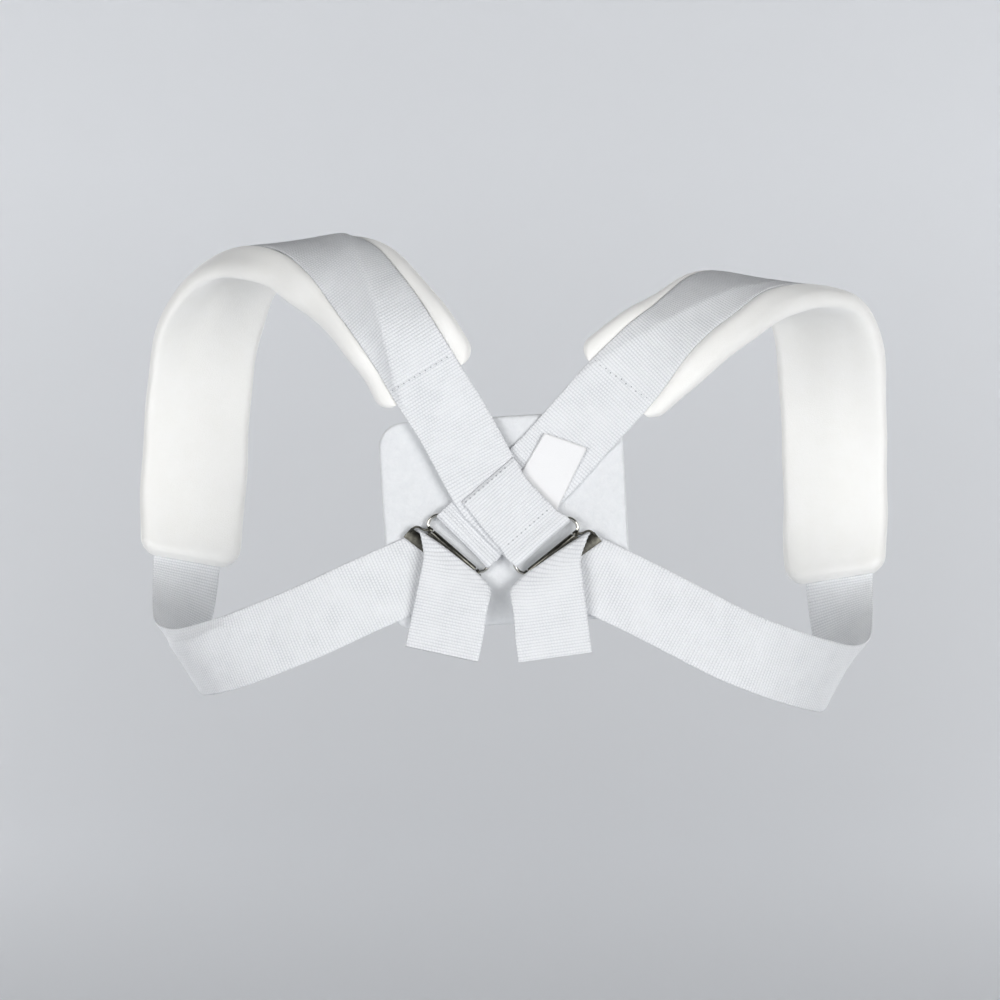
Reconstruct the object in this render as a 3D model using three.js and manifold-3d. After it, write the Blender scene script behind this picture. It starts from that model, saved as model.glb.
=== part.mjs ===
// Clavicle brace: two webbing loops that cross on a felt back pad, with padded shoulders,
// two wire buckles and two hanging tails. Millimetres, +Z up, +Y from the back pad to the chest side.
// The origin is the middle of the back pad's inner face.
import * as THREE from 'three';
import { mergeVertices } from 'three/addons/utils/BufferGeometryUtils.js';
import Module from 'manifold-3d';

const wasm = await Module();
wasm.setup();

// Distance within which points of two faces count as one
const WELD = 1e-4;

// Webbing
const WEBBING_WIDTH = 38;
const WEBBING_THICKNESS = 1.6;
const SELVEDGE_THICKNESS = 0.9;
const GAP = 0.3;
const ACROSS = [-1, -0.7, -0.35, 0, 0.35, 0.7, 1];
const STRAP_STEP = 10.5;
const FOLD_STEPS = 6;
const TAIL_STEPS = 2;
const LEFT_FLAP = 39;
const RIGHT_FLAP = 33;
const FLAP_MIDDLE = 0.55;
const FLAP_CLOSES_AT = 8.5;
const FLAP_HALF_CLOSED = 0.5;
const LAYER = WEBBING_THICKNESS + GAP;
const RIDGE_LIMIT = 0.95;

// How far the webbing's crosswise line leans with a bar: on the flap, and just past the ring
const FLAP_LEAN = 0.35;
const RING_LEAN = 0.6;

// Stretch before the clamp's bar: shares of the way, and the lean where it starts
const CLAMP_APPROACH = [0.34, 0.68];
const CLAMP_LEAN = 0.35;

// Felt back pad
const BACK_PAD_WIDTH = 124;
const BACK_PAD_HEIGHT = 106.5;
const BACK_PAD_THICKNESS = 5;
const BACK_PAD_CORNER = 13;
const BACK_PAD_CORNER_STEPS = 5;
const BACK_PAD_EDGE = 1.6;
const BACK_PAD_EDGE_STEPS = 3;
const BACK_PAD_TURN = THREE.MathUtils.degToRad(3.5);

// Shoulder pads: how far the pad ends pull in, and how the soft edge swells beside the webbing
const PAD_THICKNESS = 9;
const PAD_GAP = 0.5;
const PAD_SWELL = 1.3;
const PAD_NOSE_STEPS = 5;
const PAD_NOSE_DEPTH = 0.9;
const PAD_NOSE_CLEAR = 1.2;
const PAD_UNDERSIDE = 0.45;
const PAD_END_CLEAR = 2;
const PAD_ENDS = [
  { along: 0, pullIn: 9, thick: 0.42 },
  { along: 2, pullIn: 4.5, thick: 0.72 },
  { along: 6, pullIn: 1.2, thick: 0.94 },
  { along: 12, pullIn: 0, thick: 1 },
];

// Wire ring and clamp frame of a buckle, in its own plane:
// along runs with the bars, out runs away from the middle of the back
const WIRE = 1.9;
const RING_BAR_SPACING = 9.6;
const RING_SLACK = 0.3;
const RING_INSIDE = 37;
const RING_CORNER = 3.6;
const RING_CORNER_STEPS = 4;
const RING_SIDES = 8;
const RING_FOLD_WIDTH = 35.4;
const HINGE_CLEARANCE = 0.25;
const KNUCKLE_WALL = 0.7;
const KNUCKLE_LENGTH = 4;
const KNUCKLE_AT = 13.6;
const KNUCKLE_SIDES = 12;
const BORE_PAST_RING = 4;
const FRAME_BAR_OUT = 5.2;
const FRAME_BAR_SIDES = 10;
const FRAME_LIP_OUT = [7.4, 11.4];
const FRAME_LIP_THICKNESS = 1.3;
const FRAME_ENDS = [-24, 20.6];
const FRAME_ARM = 2.2;
const FRAME_ARM_FROM = 4;
const ARM_WIRE = 1.6;
const ARM_STEPS = 8;
const ARM_HALF_SIDES = 4;
const ARM_ARCH = [
  { share: 0, out: 0.7, lift: 1.3 },
  { share: 0.35, out: 0.9, lift: 2.2 },
  { share: 0.8, out: 1.3, lift: 2.3 },
  { share: 1, out: 3.4, lift: 1.5 },
  { share: 1, out: 6.4, lift: 0.2 },
];
const FOLD_RADIUS = WIRE / 2 + GAP + WEBBING_THICKNESS / 2;

// Levels of the webbing's middle, from the inner side outwards
const FIRST_LAYER = -(BACK_PAD_THICKNESS + GAP + WEBBING_THICKNESS / 2);
const SECOND_LAYER = FIRST_LAYER - LAYER;
const THIRD_LAYER = SECOND_LAYER - LAYER;

// Each buckle: its hinge bar's middle, the bars' slope, the wire's level and where along the
// frame's bar the middle of the adjustable strap folds. The right one lies on more layers.
const RIGHT_RISE = 2.6;
const BUCKLES = {
  left: { x: -26, z: -15.7, slope: -41.5, level: FIRST_LAYER - FOLD_RADIUS, foldAt: -0.8 },
  right: { x: 22.7, z: -16.7, slope: 219, level: FIRST_LAYER - FOLD_RADIUS - RIGHT_RISE, foldAt: -0.6 },
};

// Courses of the two straps from the sewn fold, over the shoulder and under the arm, to the frame.
// x, y, z is the webbing's middle and fx, fy, fz its outward face. A lengthwise crease stands
// ridge millimetres proud at the share ridgeAt of the half width. The plus edge is drawn in by tuck,
// which is left out where it is zero.
const COLUMNS = ['x', 'y', 'z', 'fx', 'fy', 'fz', 'ridgeAt', 'ridge', 'tuck'];
const LEFT_COURSE = [
  [9.5, THIRD_LAYER, -2, 0, -1, 0, 0, 0],
  [0.9, THIRD_LAYER, 7, 0, -1, 0, 0, 0],
  [-8.4, THIRD_LAYER, 17, 0, -1, 0, 0, 0],
  [-18, THIRD_LAYER, 34, 0, -1, 0, 0, 0],
  [-27, THIRD_LAYER, 50.5, 0, -1, 0.02, 0, 0],
  [-38, -10.6, 68, -0.06, -1, 0.04, -0.85, 0.9],
  [-49.8, -8, 87.4, -0.23, -0.98, 0.1, -0.5, 2.8],
  [-60, -1, 102.5, -0.24, -0.91, 0.37, -0.15, 3.5],
  [-72, 12, 118, -0.27, -0.74, 0.63, 0.15, 3.7],
  [-85, 30, 132.5, -0.22, -0.46, 0.86, 0.45, 3],
  [-102, 55, 140, -0.15, -0.1, 0.98, 0.85, 1.2],
  [-125, 82, 137.5, -0.25, 0.3, 0.92, 0, 0],
  [-149, 105, 119, -0.35, 0.62, 0.7, 0, 0],
  [-162, 122, 83, -0.3, 0.88, 0.35, 0, 0],
  [-167, 128, 40, -0.22, 0.96, 0.08, 0, 0],
  [-170, 126, -5, -0.28, 0.94, -0.15, 0, 0],
  [-172.5, 111, -46, -0.5, 0.75, -0.4, 0, 0],
  [-173.5, 83, -70, -0.75, 0.3, -0.58, 0, 0],
  [-168.5, 54, -77.5, -0.86, -0.2, -0.45, -0.6, 1.5],
  [-158, 31, -75.5, -0.6, -0.76, -0.25, -0.6, 2.5],
  [-139, 14, -68.5, -0.3, -0.95, -0.06, -0.7, 1.2],
  [-120, 5, -60.5, -0.16, -0.98, 0, 0, 0],
  [-98, -1.5, -50.8, -0.08, -1, 0, 0, 0],
  [-73, -6, -38.8, 0, -1, 0, 0, 0],
  [-54, FIRST_LAYER, -30.4, 0, -1, 0, 0, 0],
];
const RIGHT_COURSE = [
  [-6, FIRST_LAYER, 3.8, 0, -1, 0, 0, 0],
  [19.4, FIRST_LAYER, 27, 0, -1, 0, 0, 0],
  [37, FIRST_LAYER, 46.5, 0, -1, 0, 0, 0],
  [46.5, -7.8, 57, 0, -1, 0.06, -0.9, 0.2],
  [58, -10, 69.5, 0, -1, 0.14, -0.85, 0.8, 1],
  [75.4, -6, 86.4, 0.02, -0.94, 0.3, -0.5, 1.1, 3.9],
  [90, 3, 98.4, 0.06, -0.82, 0.55, -0.2, 1.5, 6.4],
  [103, 18, 110.8, 0.1, -0.6, 0.78, 0.15, 1.4, 4],
  [114, 36, 119.4, 0.12, -0.34, 0.93, 0.5, 0.9, 1],
  [128, 57, 122, 0.18, -0.06, 0.98, 0.8, 0.4],
  [148, 83, 118, 0.28, 0.32, 0.9, 0, 0],
  [167, 105, 104.5, 0.35, 0.64, 0.68, 0, 0],
  [176, 121, 69, 0.3, 0.88, 0.35, 0, 0],
  [178, 127, 28, 0.22, 0.96, 0.08, 0, 0],
  [179, 125, -15, 0.28, 0.94, -0.15, 0, 0],
  [180.5, 110, -55, 0.5, 0.75, -0.4, 0, 0],
  [181, 83, -79, 0.75, 0.3, -0.58, 0, 0],
  [176, 54, -86.5, 0.86, -0.2, -0.45, 0, 0],
  [164, 31, -83.5, 0.58, -0.78, -0.2, 0, 0],
  [140, 12, -74.5, 0.27, -0.96, -0.04, 0, 0],
  [117, 3.5, -64.7, 0.14, -0.99, 0, 0, 0],
  [95, -2, -53.1, 0.06, -1, 0, 0, 0],
  [70, -6.3, -39.9, 0, -1, 0, 0, 0],
  [50, -7.6, -30.2, 0, -1, 0, 0, 0],
];

// Hanging tails below their folds: the webbing's middle, and how far its crosswise line still
// leans with the frame's bar
const LEFT_TAIL = [
  { x: -28.4, y: -11.5, z: -28, lean: 0.7 },
  { x: -26.9, y: -11.2, z: -37, lean: 0.12 },
  { x: -29.2, y: -9.8, z: -53, lean: 0 },
  { x: -31.9, y: -8.8, z: -68.2, lean: 0 },
];
const RIGHT_TAIL = [
  { x: 24, y: -14.3, z: -27.5, lean: 0.7 },
  { x: 22, y: -14, z: -37, lean: 0.12 },
  { x: 23.4, y: -11.8, z: -53, lean: 0 },
  { x: 25, y: -10, z: -69.2, lean: 0 },
];

// Shoulder pads: the stretch of the course that each covers, and the reach of its two edges
// from the webbing's middle (toward: the share of the way along the pad)
const LEFT_PAD = {
  from: 5.05,
  to: 15.6,
  reach: [
    { toward: 0, minus: 28, plus: 28.5 },
    { toward: 0.2, minus: 28.5, plus: 28 },
    { toward: 0.4, minus: 33, plus: 24.5 },
    { toward: 0.55, minus: 33, plus: 27 },
    { toward: 1, minus: 28, plus: 28 },
  ],
};
const RIGHT_PAD = {
  from: 3.85,
  to: 14.6,
  reach: [
    { toward: 0, minus: 28.5, plus: 26 },
    { toward: 0.2, minus: 26, plus: 28.5 },
    { toward: 0.42, minus: 24.5, plus: 33 },
    { toward: 0.55, minus: 27, plus: 33 },
    { toward: 1, minus: 28, plus: 28 },
  ],
};

// Label: corners (x, z), with the side that is tucked under the left strap first
const LABEL_THICKNESS = 1;
const LABEL_CORNERS = [[6, 21.5], [25.9, 4.8], [41.5, 37.5], [19.8, 45]];

const MATERIALS = {
  webbing: { color: 0xeceef2, roughness: 0.85, metalness: 0 },
  pad: { color: 0xfaf8f1, roughness: 0.95, metalness: 0 },
  felt: { color: 0xe6e9ee, roughness: 1, metalness: 0 },
  steel: { color: 0xb9b7ae, roughness: 0.18, metalness: 1 },
  label: { color: 0xfdfdfd, roughness: 0.6, metalness: 0 },
};

const OUTWARD = new THREE.Vector3(0, -1, 0);

function flat(x, z, y = 0) {
  return new THREE.Vector3(x, y, z);
}

// The buckle's own directions and places on the back
function buckleFrame(buckle) {
  const slope = THREE.MathUtils.degToRad(buckle.slope);
  const along = flat(Math.cos(slope), Math.sin(slope));
  const out = new THREE.Vector3().crossVectors(OUTWARD, along).normalize();
  if (out.z > 0) out.negate();
  const hinge = flat(buckle.x, buckle.z, buckle.level);
  const place = (u, n, lift = 0) =>
    hinge.clone().addScaledVector(along, u).addScaledVector(out, n).addScaledVector(OUTWARD, lift);
  return { along, out, place };
}

// Closed rings of points joined into one body. Each ring's point i faces point (count - 1 - i),
// so the two ends close as strips.
function loft(rings) {
  const count = rings[0].length;
  const positions = rings.flat().flatMap((p) => [p.x, p.y, p.z]);
  const triangles = [];
  for (let r = 0; r + 1 < rings.length; r += 1) {
    for (let i = 0; i < count; i += 1) {
      const j = (i + 1) % count;
      const a = r * count + i;
      const b = r * count + j;
      triangles.push(a, b, b + count, a, b + count, a + count);
    }
  }
  const last = (rings.length - 1) * count;
  for (let i = 0; i + 1 < count / 2; i += 1) {
    const far = count - 1 - i;
    triangles.push(i, far, far - 1);
    if (i + 1 !== far - 1) triangles.push(i, far - 1, i + 1);
    triangles.push(last + i, last + far - 1, last + far);
    if (i + 1 !== far - 1) triangles.push(last + i, last + i + 1, last + far - 1);
  }
  return outwardGeometry(positions, triangles);
}

// A geometry from positions and triangles, turned so that its faces point out
function outwardGeometry(positions, triangles) {
  const corner = (index) => new THREE.Vector3().fromArray(positions, 3 * index);
  let volume = 0;
  for (let t = 0; t < triangles.length; t += 3) {
    const [a, b, c] = [0, 1, 2].map((k) => corner(triangles[t + k]));
    volume += a.dot(b.cross(c));
  }
  if (volume < 0) triangles.reverse();
  const geometry = new THREE.BufferGeometry();
  geometry.setAttribute('position', new THREE.Float32BufferAttribute(positions, 3));
  geometry.setIndex(triangles);
  geometry.computeVertexNormals();
  return geometry;
}

function toManifold(geometry) {
  const bare = geometry.clone();
  bare.deleteAttribute('normal');
  bare.deleteAttribute('uv');
  const merged = mergeVertices(bare, WELD);
  const vertProperties = Float32Array.from(merged.attributes.position.array);
  const triVerts = Uint32Array.from(merged.index.array);
  return new wasm.Manifold(new wasm.Mesh({ numProp: 3, vertProperties, triVerts }));
}

function fromManifold(solid) {
  const mesh = solid.getMesh();
  return outwardGeometry(Array.from(mesh.vertProperties), Array.from(mesh.triVerts));
}

// Rows of a course as objects, and a smooth line through any of their columns
function courseRows(table) {
  return table.map((row) => Object.fromEntries(COLUMNS.map((name, i) => [name, row[i] ?? 0])));
}

function smooth(values, at) {
  const i = Math.min(Math.max(Math.floor(at), 0), values.length - 2);
  const t = at - i;
  const [p1, p2] = [values[i], values[i + 1]];
  const p0 = i > 0 ? values[i - 1] : 2 * p1 - p2;
  const p3 = i + 2 < values.length ? values[i + 2] : 2 * p2 - p1;
  const bend = 2 * p0 - 5 * p1 + 4 * p2 - p3;
  return 0.5 * (2 * p1 + (p2 - p0) * t + bend * t * t + (3 * p1 - p0 - 3 * p2 + p3) * t ** 3);
}

function courseStation(rows, at) {
  const value = (name) => smooth(rows.map((row) => row[name]), at);
  return {
    at,
    middle: new THREE.Vector3(value('x'), value('y'), value('z')),
    face: new THREE.Vector3(value('fx'), value('fy'), value('fz')).normalize(),
    ridgeAt: value('ridgeAt'),
    ridge: Math.max(value('ridge'), 0),
    tuck: Math.max(value('tuck'), 0),
  };
}

// Stations along one strap: sewn flap, fold round the ring's bar, the course, fold round the
// frame's bar, tail. A station on a fold has its crosswise line along the bar.
function strapStations(course, ring, frame, flapLength, tail) {
  const rows = courseRows(course);
  const stations = [];
  const bar = ring.place(0, RING_SLACK - RING_BAR_SPACING);
  const firstFree = new THREE.Vector3(rows[0].x, rows[0].y, rows[0].z);

  // the inner layer runs from under the bar to the course, and the flap lies on it
  const approach = courseRows(course);
  const under = bar.clone().addScaledVector(OUTWARD, -FOLD_RADIUS);
  approach.unshift({ ...rows[0], x: under.x, y: under.y, z: under.z });
  const reach = firstFree.distanceTo(under);
  const opening = (distance) => {
    const share = Math.min(distance / FLAP_CLOSES_AT, 1);
    return LAYER + (2 * FOLD_RADIUS - LAYER) * (1 - share) ** 2;
  };
  const flapEnds = [flapLength, flapLength * FLAP_MIDDLE, FLAP_CLOSES_AT, FLAP_CLOSES_AT * FLAP_HALF_CLOSED];
  for (const distance of flapEnds) {
    const at = distance < reach ? distance / reach : 1 + (distance - reach) / rowSpacing(rows, 0);
    const below = courseStation(approach, at).middle;
    const blend = distance > FLAP_CLOSES_AT ? FLAP_LEAN : 1;
    stations.push({ middle: below.addScaledVector(OUTWARD, opening(distance)), bar: ring.along, blend });
  }
  for (let i = 0; i <= FOLD_STEPS; i += 1) {
    const turn = -Math.PI / 2 + (Math.PI * i) / FOLD_STEPS;
    const middle = bar.clone().addScaledVector(ring.out, FOLD_RADIUS * Math.cos(turn));
    middle.addScaledVector(OUTWARD, -FOLD_RADIUS * Math.sin(turn));
    stations.push({ middle, bar: ring.along, blend: 1, width: RING_FOLD_WIDTH });
  }
  const startStep = courseStation(approach, 0.5);
  stations.push({ ...startStep, at: undefined, bar: ring.along, blend: RING_LEAN });

  for (let i = 0; i + 1 < rows.length; i += 1) {
    const steps = Math.max(1, Math.round(rowSpacing(rows, i) / STRAP_STEP));
    for (let s = 0; s < steps; s += 1) stations.push(courseStation(rows, i + s / steps));
  }
  stations.push({ ...courseStation(rows, rows.length - 1), bar: frame.along, blend: CLAMP_LEAN });

  const enter = frame.place(frame.foldAt, FRAME_BAR_OUT, -FOLD_RADIUS);
  const end = stations[stations.length - 1].middle;
  for (const share of CLAMP_APPROACH) {
    const blend = THREE.MathUtils.lerp(CLAMP_LEAN, 1, share);
    stations.push({ middle: end.clone().lerp(enter, share), bar: frame.along, blend });
  }
  for (let i = 0; i <= FOLD_STEPS; i += 1) {
    const turn = (Math.PI * i) / FOLD_STEPS;
    const out = FRAME_BAR_OUT - FOLD_RADIUS * Math.sin(turn);
    const middle = frame.place(frame.foldAt, out, -FOLD_RADIUS * Math.cos(turn));
    stations.push({ middle, bar: frame.along, blend: 1 });
  }
  const leave = frame.place(frame.foldAt, FRAME_BAR_OUT, FOLD_RADIUS);
  const hanging = [{ x: leave.x, y: leave.y, z: leave.z, lean: 1 }, ...tail];
  for (let i = 1; i <= tail.length * TAIL_STEPS; i += 1) {
    const value = (name) => smooth(hanging.map((row) => row[name]), i / TAIL_STEPS);
    const middle = new THREE.Vector3(value('x'), value('y'), value('z'));
    stations.push({ middle, bar: frame.along, blend: THREE.MathUtils.clamp(value('lean'), 0, 1) });
  }
  return stations;
}

function rowSpacing(rows, i) {
  const [a, b] = [rows[i], rows[i + 1]];
  return Math.hypot(b.x - a.x, b.y - a.y, b.z - a.z);
}

// Give each station its direction of travel, crosswise line and outward face. The crosswise line
// leans with a bar near a fold. It is lengthened there so that the webbing keeps its width, and on
// the bar itself the webbing is squeezed to the bar.
function squareUp(stations) {
  stations.forEach((station, i) => {
    const before = stations[Math.max(i - 1, 0)].middle;
    const after = stations[Math.min(i + 1, stations.length - 1)].middle;
    station.travel = after.clone().sub(before).normalize();
  });
  let crosswise = null;
  const order = stations.map((_, i) => i);
  const firstFaced = stations.findIndex((station) => station.at !== undefined);
  const sorted = [...order.slice(firstFaced), ...order.slice(0, firstFaced).reverse()];
  sorted.forEach((index, step) => {
    const station = stations[index];
    if (step === order.length - firstFaced) crosswise = stations[firstFaced].crosswise;
    const line = crosswise ? crosswise.clone() : new THREE.Vector3();
    if (station.face) line.crossVectors(station.travel, station.face);
    line.addScaledVector(station.travel, -line.dot(station.travel)).normalize();
    if (station.bar) {
      const lean = station.bar.clone();
      if (lean.dot(line) < 0) lean.negate();
      line.lerp(lean, station.blend).normalize();
    }
    station.crosswise = line;
    crosswise = line;
    const skew = new THREE.Vector3().crossVectors(line, station.travel);
    const width = station.width ?? WEBBING_WIDTH;
    station.halfWidth = width / 2 / THREE.MathUtils.lerp(skew.length(), 1, station.blend ?? 0);
    station.outer = skew.normalize();
  });
  return stations;
}

// Height of the lengthwise crease at a share of the half width: two planes that meet on the ridge
function creaseHeight(station, share) {
  if (!station.ridge) return 0;
  const top = THREE.MathUtils.clamp(station.ridgeAt, -RIDGE_LIMIT, RIDGE_LIMIT);
  const fall = share < top ? (share + 1) / (top + 1) : (1 - share) / (1 - top);
  return station.ridge * fall;
}

function stationPoint(station, across, height) {
  const spot = station.middle.clone().addScaledVector(station.crosswise, across);
  return spot.addScaledVector(station.outer, height);
}

function strapGeometry(stations) {
  const side = (station, sign) =>
    ACROSS.map((share) => {
      const half = Math.abs(share) === 1 ? SELVEDGE_THICKNESS / 2 : WEBBING_THICKNESS / 2;
      const across = share * station.halfWidth - ((station.tuck ?? 0) * (1 + share)) / 2;
      return stationPoint(station, across, creaseHeight(station, share) + sign * half);
    });
  return loft(stations.map((station) => [...side(station, 1), ...side(station, -1).reverse()]));
}

// Reach of a pad's edges at a share of its length, eased between the rows of its table
function padReach(table, toward, name) {
  const next = Math.max(1, table.findIndex((row) => row.toward >= toward));
  const [a, b] = [table[next - 1], table[next]];
  const share = THREE.MathUtils.smoothstep(toward, a.toward, b.toward);
  return THREE.MathUtils.lerp(a[name], b[name], share);
}

function padEnd(distance) {
  const next = PAD_ENDS.findIndex((row) => row.along >= distance);
  if (next === -1) return { pullIn: 0, thick: 1 };
  if (next === 0) return PAD_ENDS[0];
  const [a, b] = [PAD_ENDS[next - 1], PAD_ENDS[next]];
  const share = (distance - a.along) / (b.along - a.along);
  return {
    pullIn: THREE.MathUtils.lerp(a.pullIn, b.pullIn, share),
    thick: THREE.MathUtils.lerp(a.thick, b.thick, share),
  };
}

// One cross-section of a shoulder pad: flat under the webbing, swollen beside it, round-nosed
function padSection(station, minus, plus, thickness) {
  const top = -(WEBBING_THICKNESS / 2 + PAD_GAP);
  const points = ACROSS.map((share) => [share * station.halfWidth, top]);
  const nose = (reach, sign) => {
    const radius = thickness / 2;
    const arc = [];
    for (let i = 0; i < PAD_NOSE_STEPS; i += 1) {
      const turn = Math.PI / 2 - (Math.PI * i) / (PAD_NOSE_STEPS - 1);
      const swell = PAD_SWELL * Math.max(0, Math.sin(turn)) * (thickness / PAD_THICKNESS);
      const start = Math.max(reach - radius, station.halfWidth + PAD_NOSE_CLEAR);
      const across = start + PAD_NOSE_DEPTH * radius * Math.cos(turn);
      arc.push([sign * across, top - radius + radius * Math.sin(turn) + swell]);
    }
    return arc;
  };
  points.push(...nose(plus, 1));
  const underside = [plus * PAD_UNDERSIDE, 0, -minus * PAD_UNDERSIDE];
  points.push(...underside.map((across) => [across, top - thickness]));
  points.push(...nose(minus, -1).reverse());
  return points.map(([across, height]) => stationPoint(station, across, height));
}

function padGeometry(course, pad, strap) {
  const rows = courseRows(course);
  const inside = strap.filter((station) => station.at > pad.from && station.at < pad.to);
  const spot = (at) => {
    const next = strap.findIndex((station) => station.at >= at);
    const [a, b] = [strap[next - 1], strap[next]];
    const share = (at - a.at) / (b.at - a.at);
    const station = { ...a, at };
    station.middle = a.middle.clone().lerp(b.middle, share);
    station.crosswise = a.crosswise.clone().lerp(b.crosswise, share).normalize();
    station.outer = a.outer.clone().lerp(b.outer, share).normalize();
    station.halfWidth = THREE.MathUtils.lerp(a.halfWidth, b.halfWidth, share);
    return station;
  };
  const perRow = (at) => rowSpacing(rows, Math.ceil(at) - 1);
  const ends = PAD_ENDS.flatMap(({ along }) => [
    spot(pad.from + along / perRow(pad.from)),
    spot(pad.to - along / perRow(pad.to)),
  ]);
  const clear = PAD_ENDS[PAD_ENDS.length - 1].along + PAD_END_CLEAR;
  const middle = inside.filter(
    ({ at }) => (at - pad.from) * perRow(pad.from) > clear && (pad.to - at) * perRow(pad.to) > clear,
  );
  const stations = [...ends, ...middle].sort((a, b) => a.at - b.at);
  return loft(
    stations.map((station) => {
      const toward = (station.at - pad.from) / (pad.to - pad.from);
      const fromEnd = Math.min(
        (station.at - pad.from) * perRow(pad.from),
        (pad.to - station.at) * perRow(pad.to),
      );
      const end = padEnd(fromEnd);
      const minus = padReach(pad.reach, toward, 'minus') - end.pullIn;
      const plus = padReach(pad.reach, toward, 'plus') - end.pullIn;
      return padSection(station, minus, plus, PAD_THICKNESS * end.thick);
    }),
  );
}

function backPadGeometry() {
  const w = BACK_PAD_WIDTH / 2 - BACK_PAD_EDGE;
  const h = BACK_PAD_HEIGHT / 2 - BACK_PAD_EDGE;
  const r = BACK_PAD_CORNER - BACK_PAD_EDGE;
  const outline = new THREE.Shape();
  const corners = [[w - r, h - r, 0], [r - w, h - r, 1], [r - w, r - h, 2], [w - r, r - h, 3]];
  for (const [x, y, quarter] of corners) {
    outline.absarc(x, y, r, (quarter * Math.PI) / 2, ((quarter + 1) * Math.PI) / 2, false);
  }
  const geometry = new THREE.ExtrudeGeometry(outline, {
    depth: BACK_PAD_THICKNESS - 2 * BACK_PAD_EDGE,
    bevelThickness: BACK_PAD_EDGE,
    bevelSize: BACK_PAD_EDGE,
    bevelSegments: BACK_PAD_EDGE_STEPS,
    curveSegments: BACK_PAD_CORNER_STEPS,
  });
  geometry.translate(0, 0, BACK_PAD_EDGE);
  geometry.rotateZ(BACK_PAD_TURN);
  geometry.rotateX(Math.PI / 2);
  return geometry;
}

// A round bar between two points
function barGeometry(from, to, radius, sides) {
  const length = from.distanceTo(to);
  const geometry = new THREE.CylinderGeometry(radius, radius, length, sides);
  const turn = new THREE.Quaternion().setFromUnitVectors(
    new THREE.Vector3(0, 1, 0),
    to.clone().sub(from).normalize(),
  );
  geometry.applyQuaternion(turn);
  const middle = from.clone().lerp(to, 0.5);
  geometry.translate(middle.x, middle.y, middle.z);
  return geometry;
}

// A round wire through a few points
function wireGeometry(points, radius) {
  const section = new THREE.Shape().absarc(0, 0, radius, 0, 2 * Math.PI);
  return new THREE.ExtrudeGeometry(section, {
    steps: ARM_STEPS,
    curveSegments: ARM_HALF_SIDES,
    bevelEnabled: false,
    extrudePath: new THREE.CatmullRomCurve3(points),
  });
}

// A block with the buckle's directions: u along the bars, n out, lift off the back
function blockGeometry(buckle, u, n, thickness, lift = 0) {
  const geometry = new THREE.BoxGeometry(u[1] - u[0], n[1] - n[0], thickness);
  const basis = new THREE.Matrix4().makeBasis(
    buckle.along,
    buckle.out,
    new THREE.Vector3().crossVectors(buckle.along, buckle.out),
  );
  geometry.applyMatrix4(basis);
  const middle = buckle.place((u[0] + u[1]) / 2, (n[0] + n[1]) / 2, lift);
  geometry.translate(middle.x, middle.y, middle.z);
  return geometry;
}

// Wire bent into a long ring with round corners
function ringGeometry(buckle) {
  const halfLong = RING_INSIDE / 2 + WIRE / 2;
  const path = [];
  const corners = [
    [halfLong - RING_CORNER, -RING_CORNER, 0],
    [RING_CORNER - halfLong, -RING_CORNER, 1],
    [RING_CORNER - halfLong, RING_CORNER - RING_BAR_SPACING, 2],
    [halfLong - RING_CORNER, RING_CORNER - RING_BAR_SPACING, 3],
  ];
  for (const [u, n, quarter] of corners) {
    for (let i = 0; i <= RING_CORNER_STEPS; i += 1) {
      const turn = ((quarter + i / RING_CORNER_STEPS) * Math.PI) / 2;
      path.push({ u: u + RING_CORNER * Math.cos(turn), n: n + RING_CORNER * Math.sin(turn), turn });
    }
  }
  const positions = [];
  for (const { u, n, turn } of path) {
    for (let side = 0; side < RING_SIDES; side += 1) {
      const angle = (2 * Math.PI * side) / RING_SIDES;
      const swing = (WIRE / 2) * Math.cos(angle);
      const lift = (WIRE / 2) * Math.sin(angle);
      const point = buckle.place(u + swing * Math.cos(turn), n + swing * Math.sin(turn), lift);
      positions.push(point.x, point.y, point.z);
    }
  }
  const triangles = [];
  for (let p = 0; p < path.length; p += 1) {
    const next = (p + 1) % path.length;
    for (let side = 0; side < RING_SIDES; side += 1) {
      const beside = (side + 1) % RING_SIDES;
      const [a, b] = [p * RING_SIDES + side, p * RING_SIDES + beside];
      const [c, d] = [next * RING_SIDES + beside, next * RING_SIDES + side];
      triangles.push(a, b, c, a, c, d);
    }
  }
  return outwardGeometry(positions, triangles);
}

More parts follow.
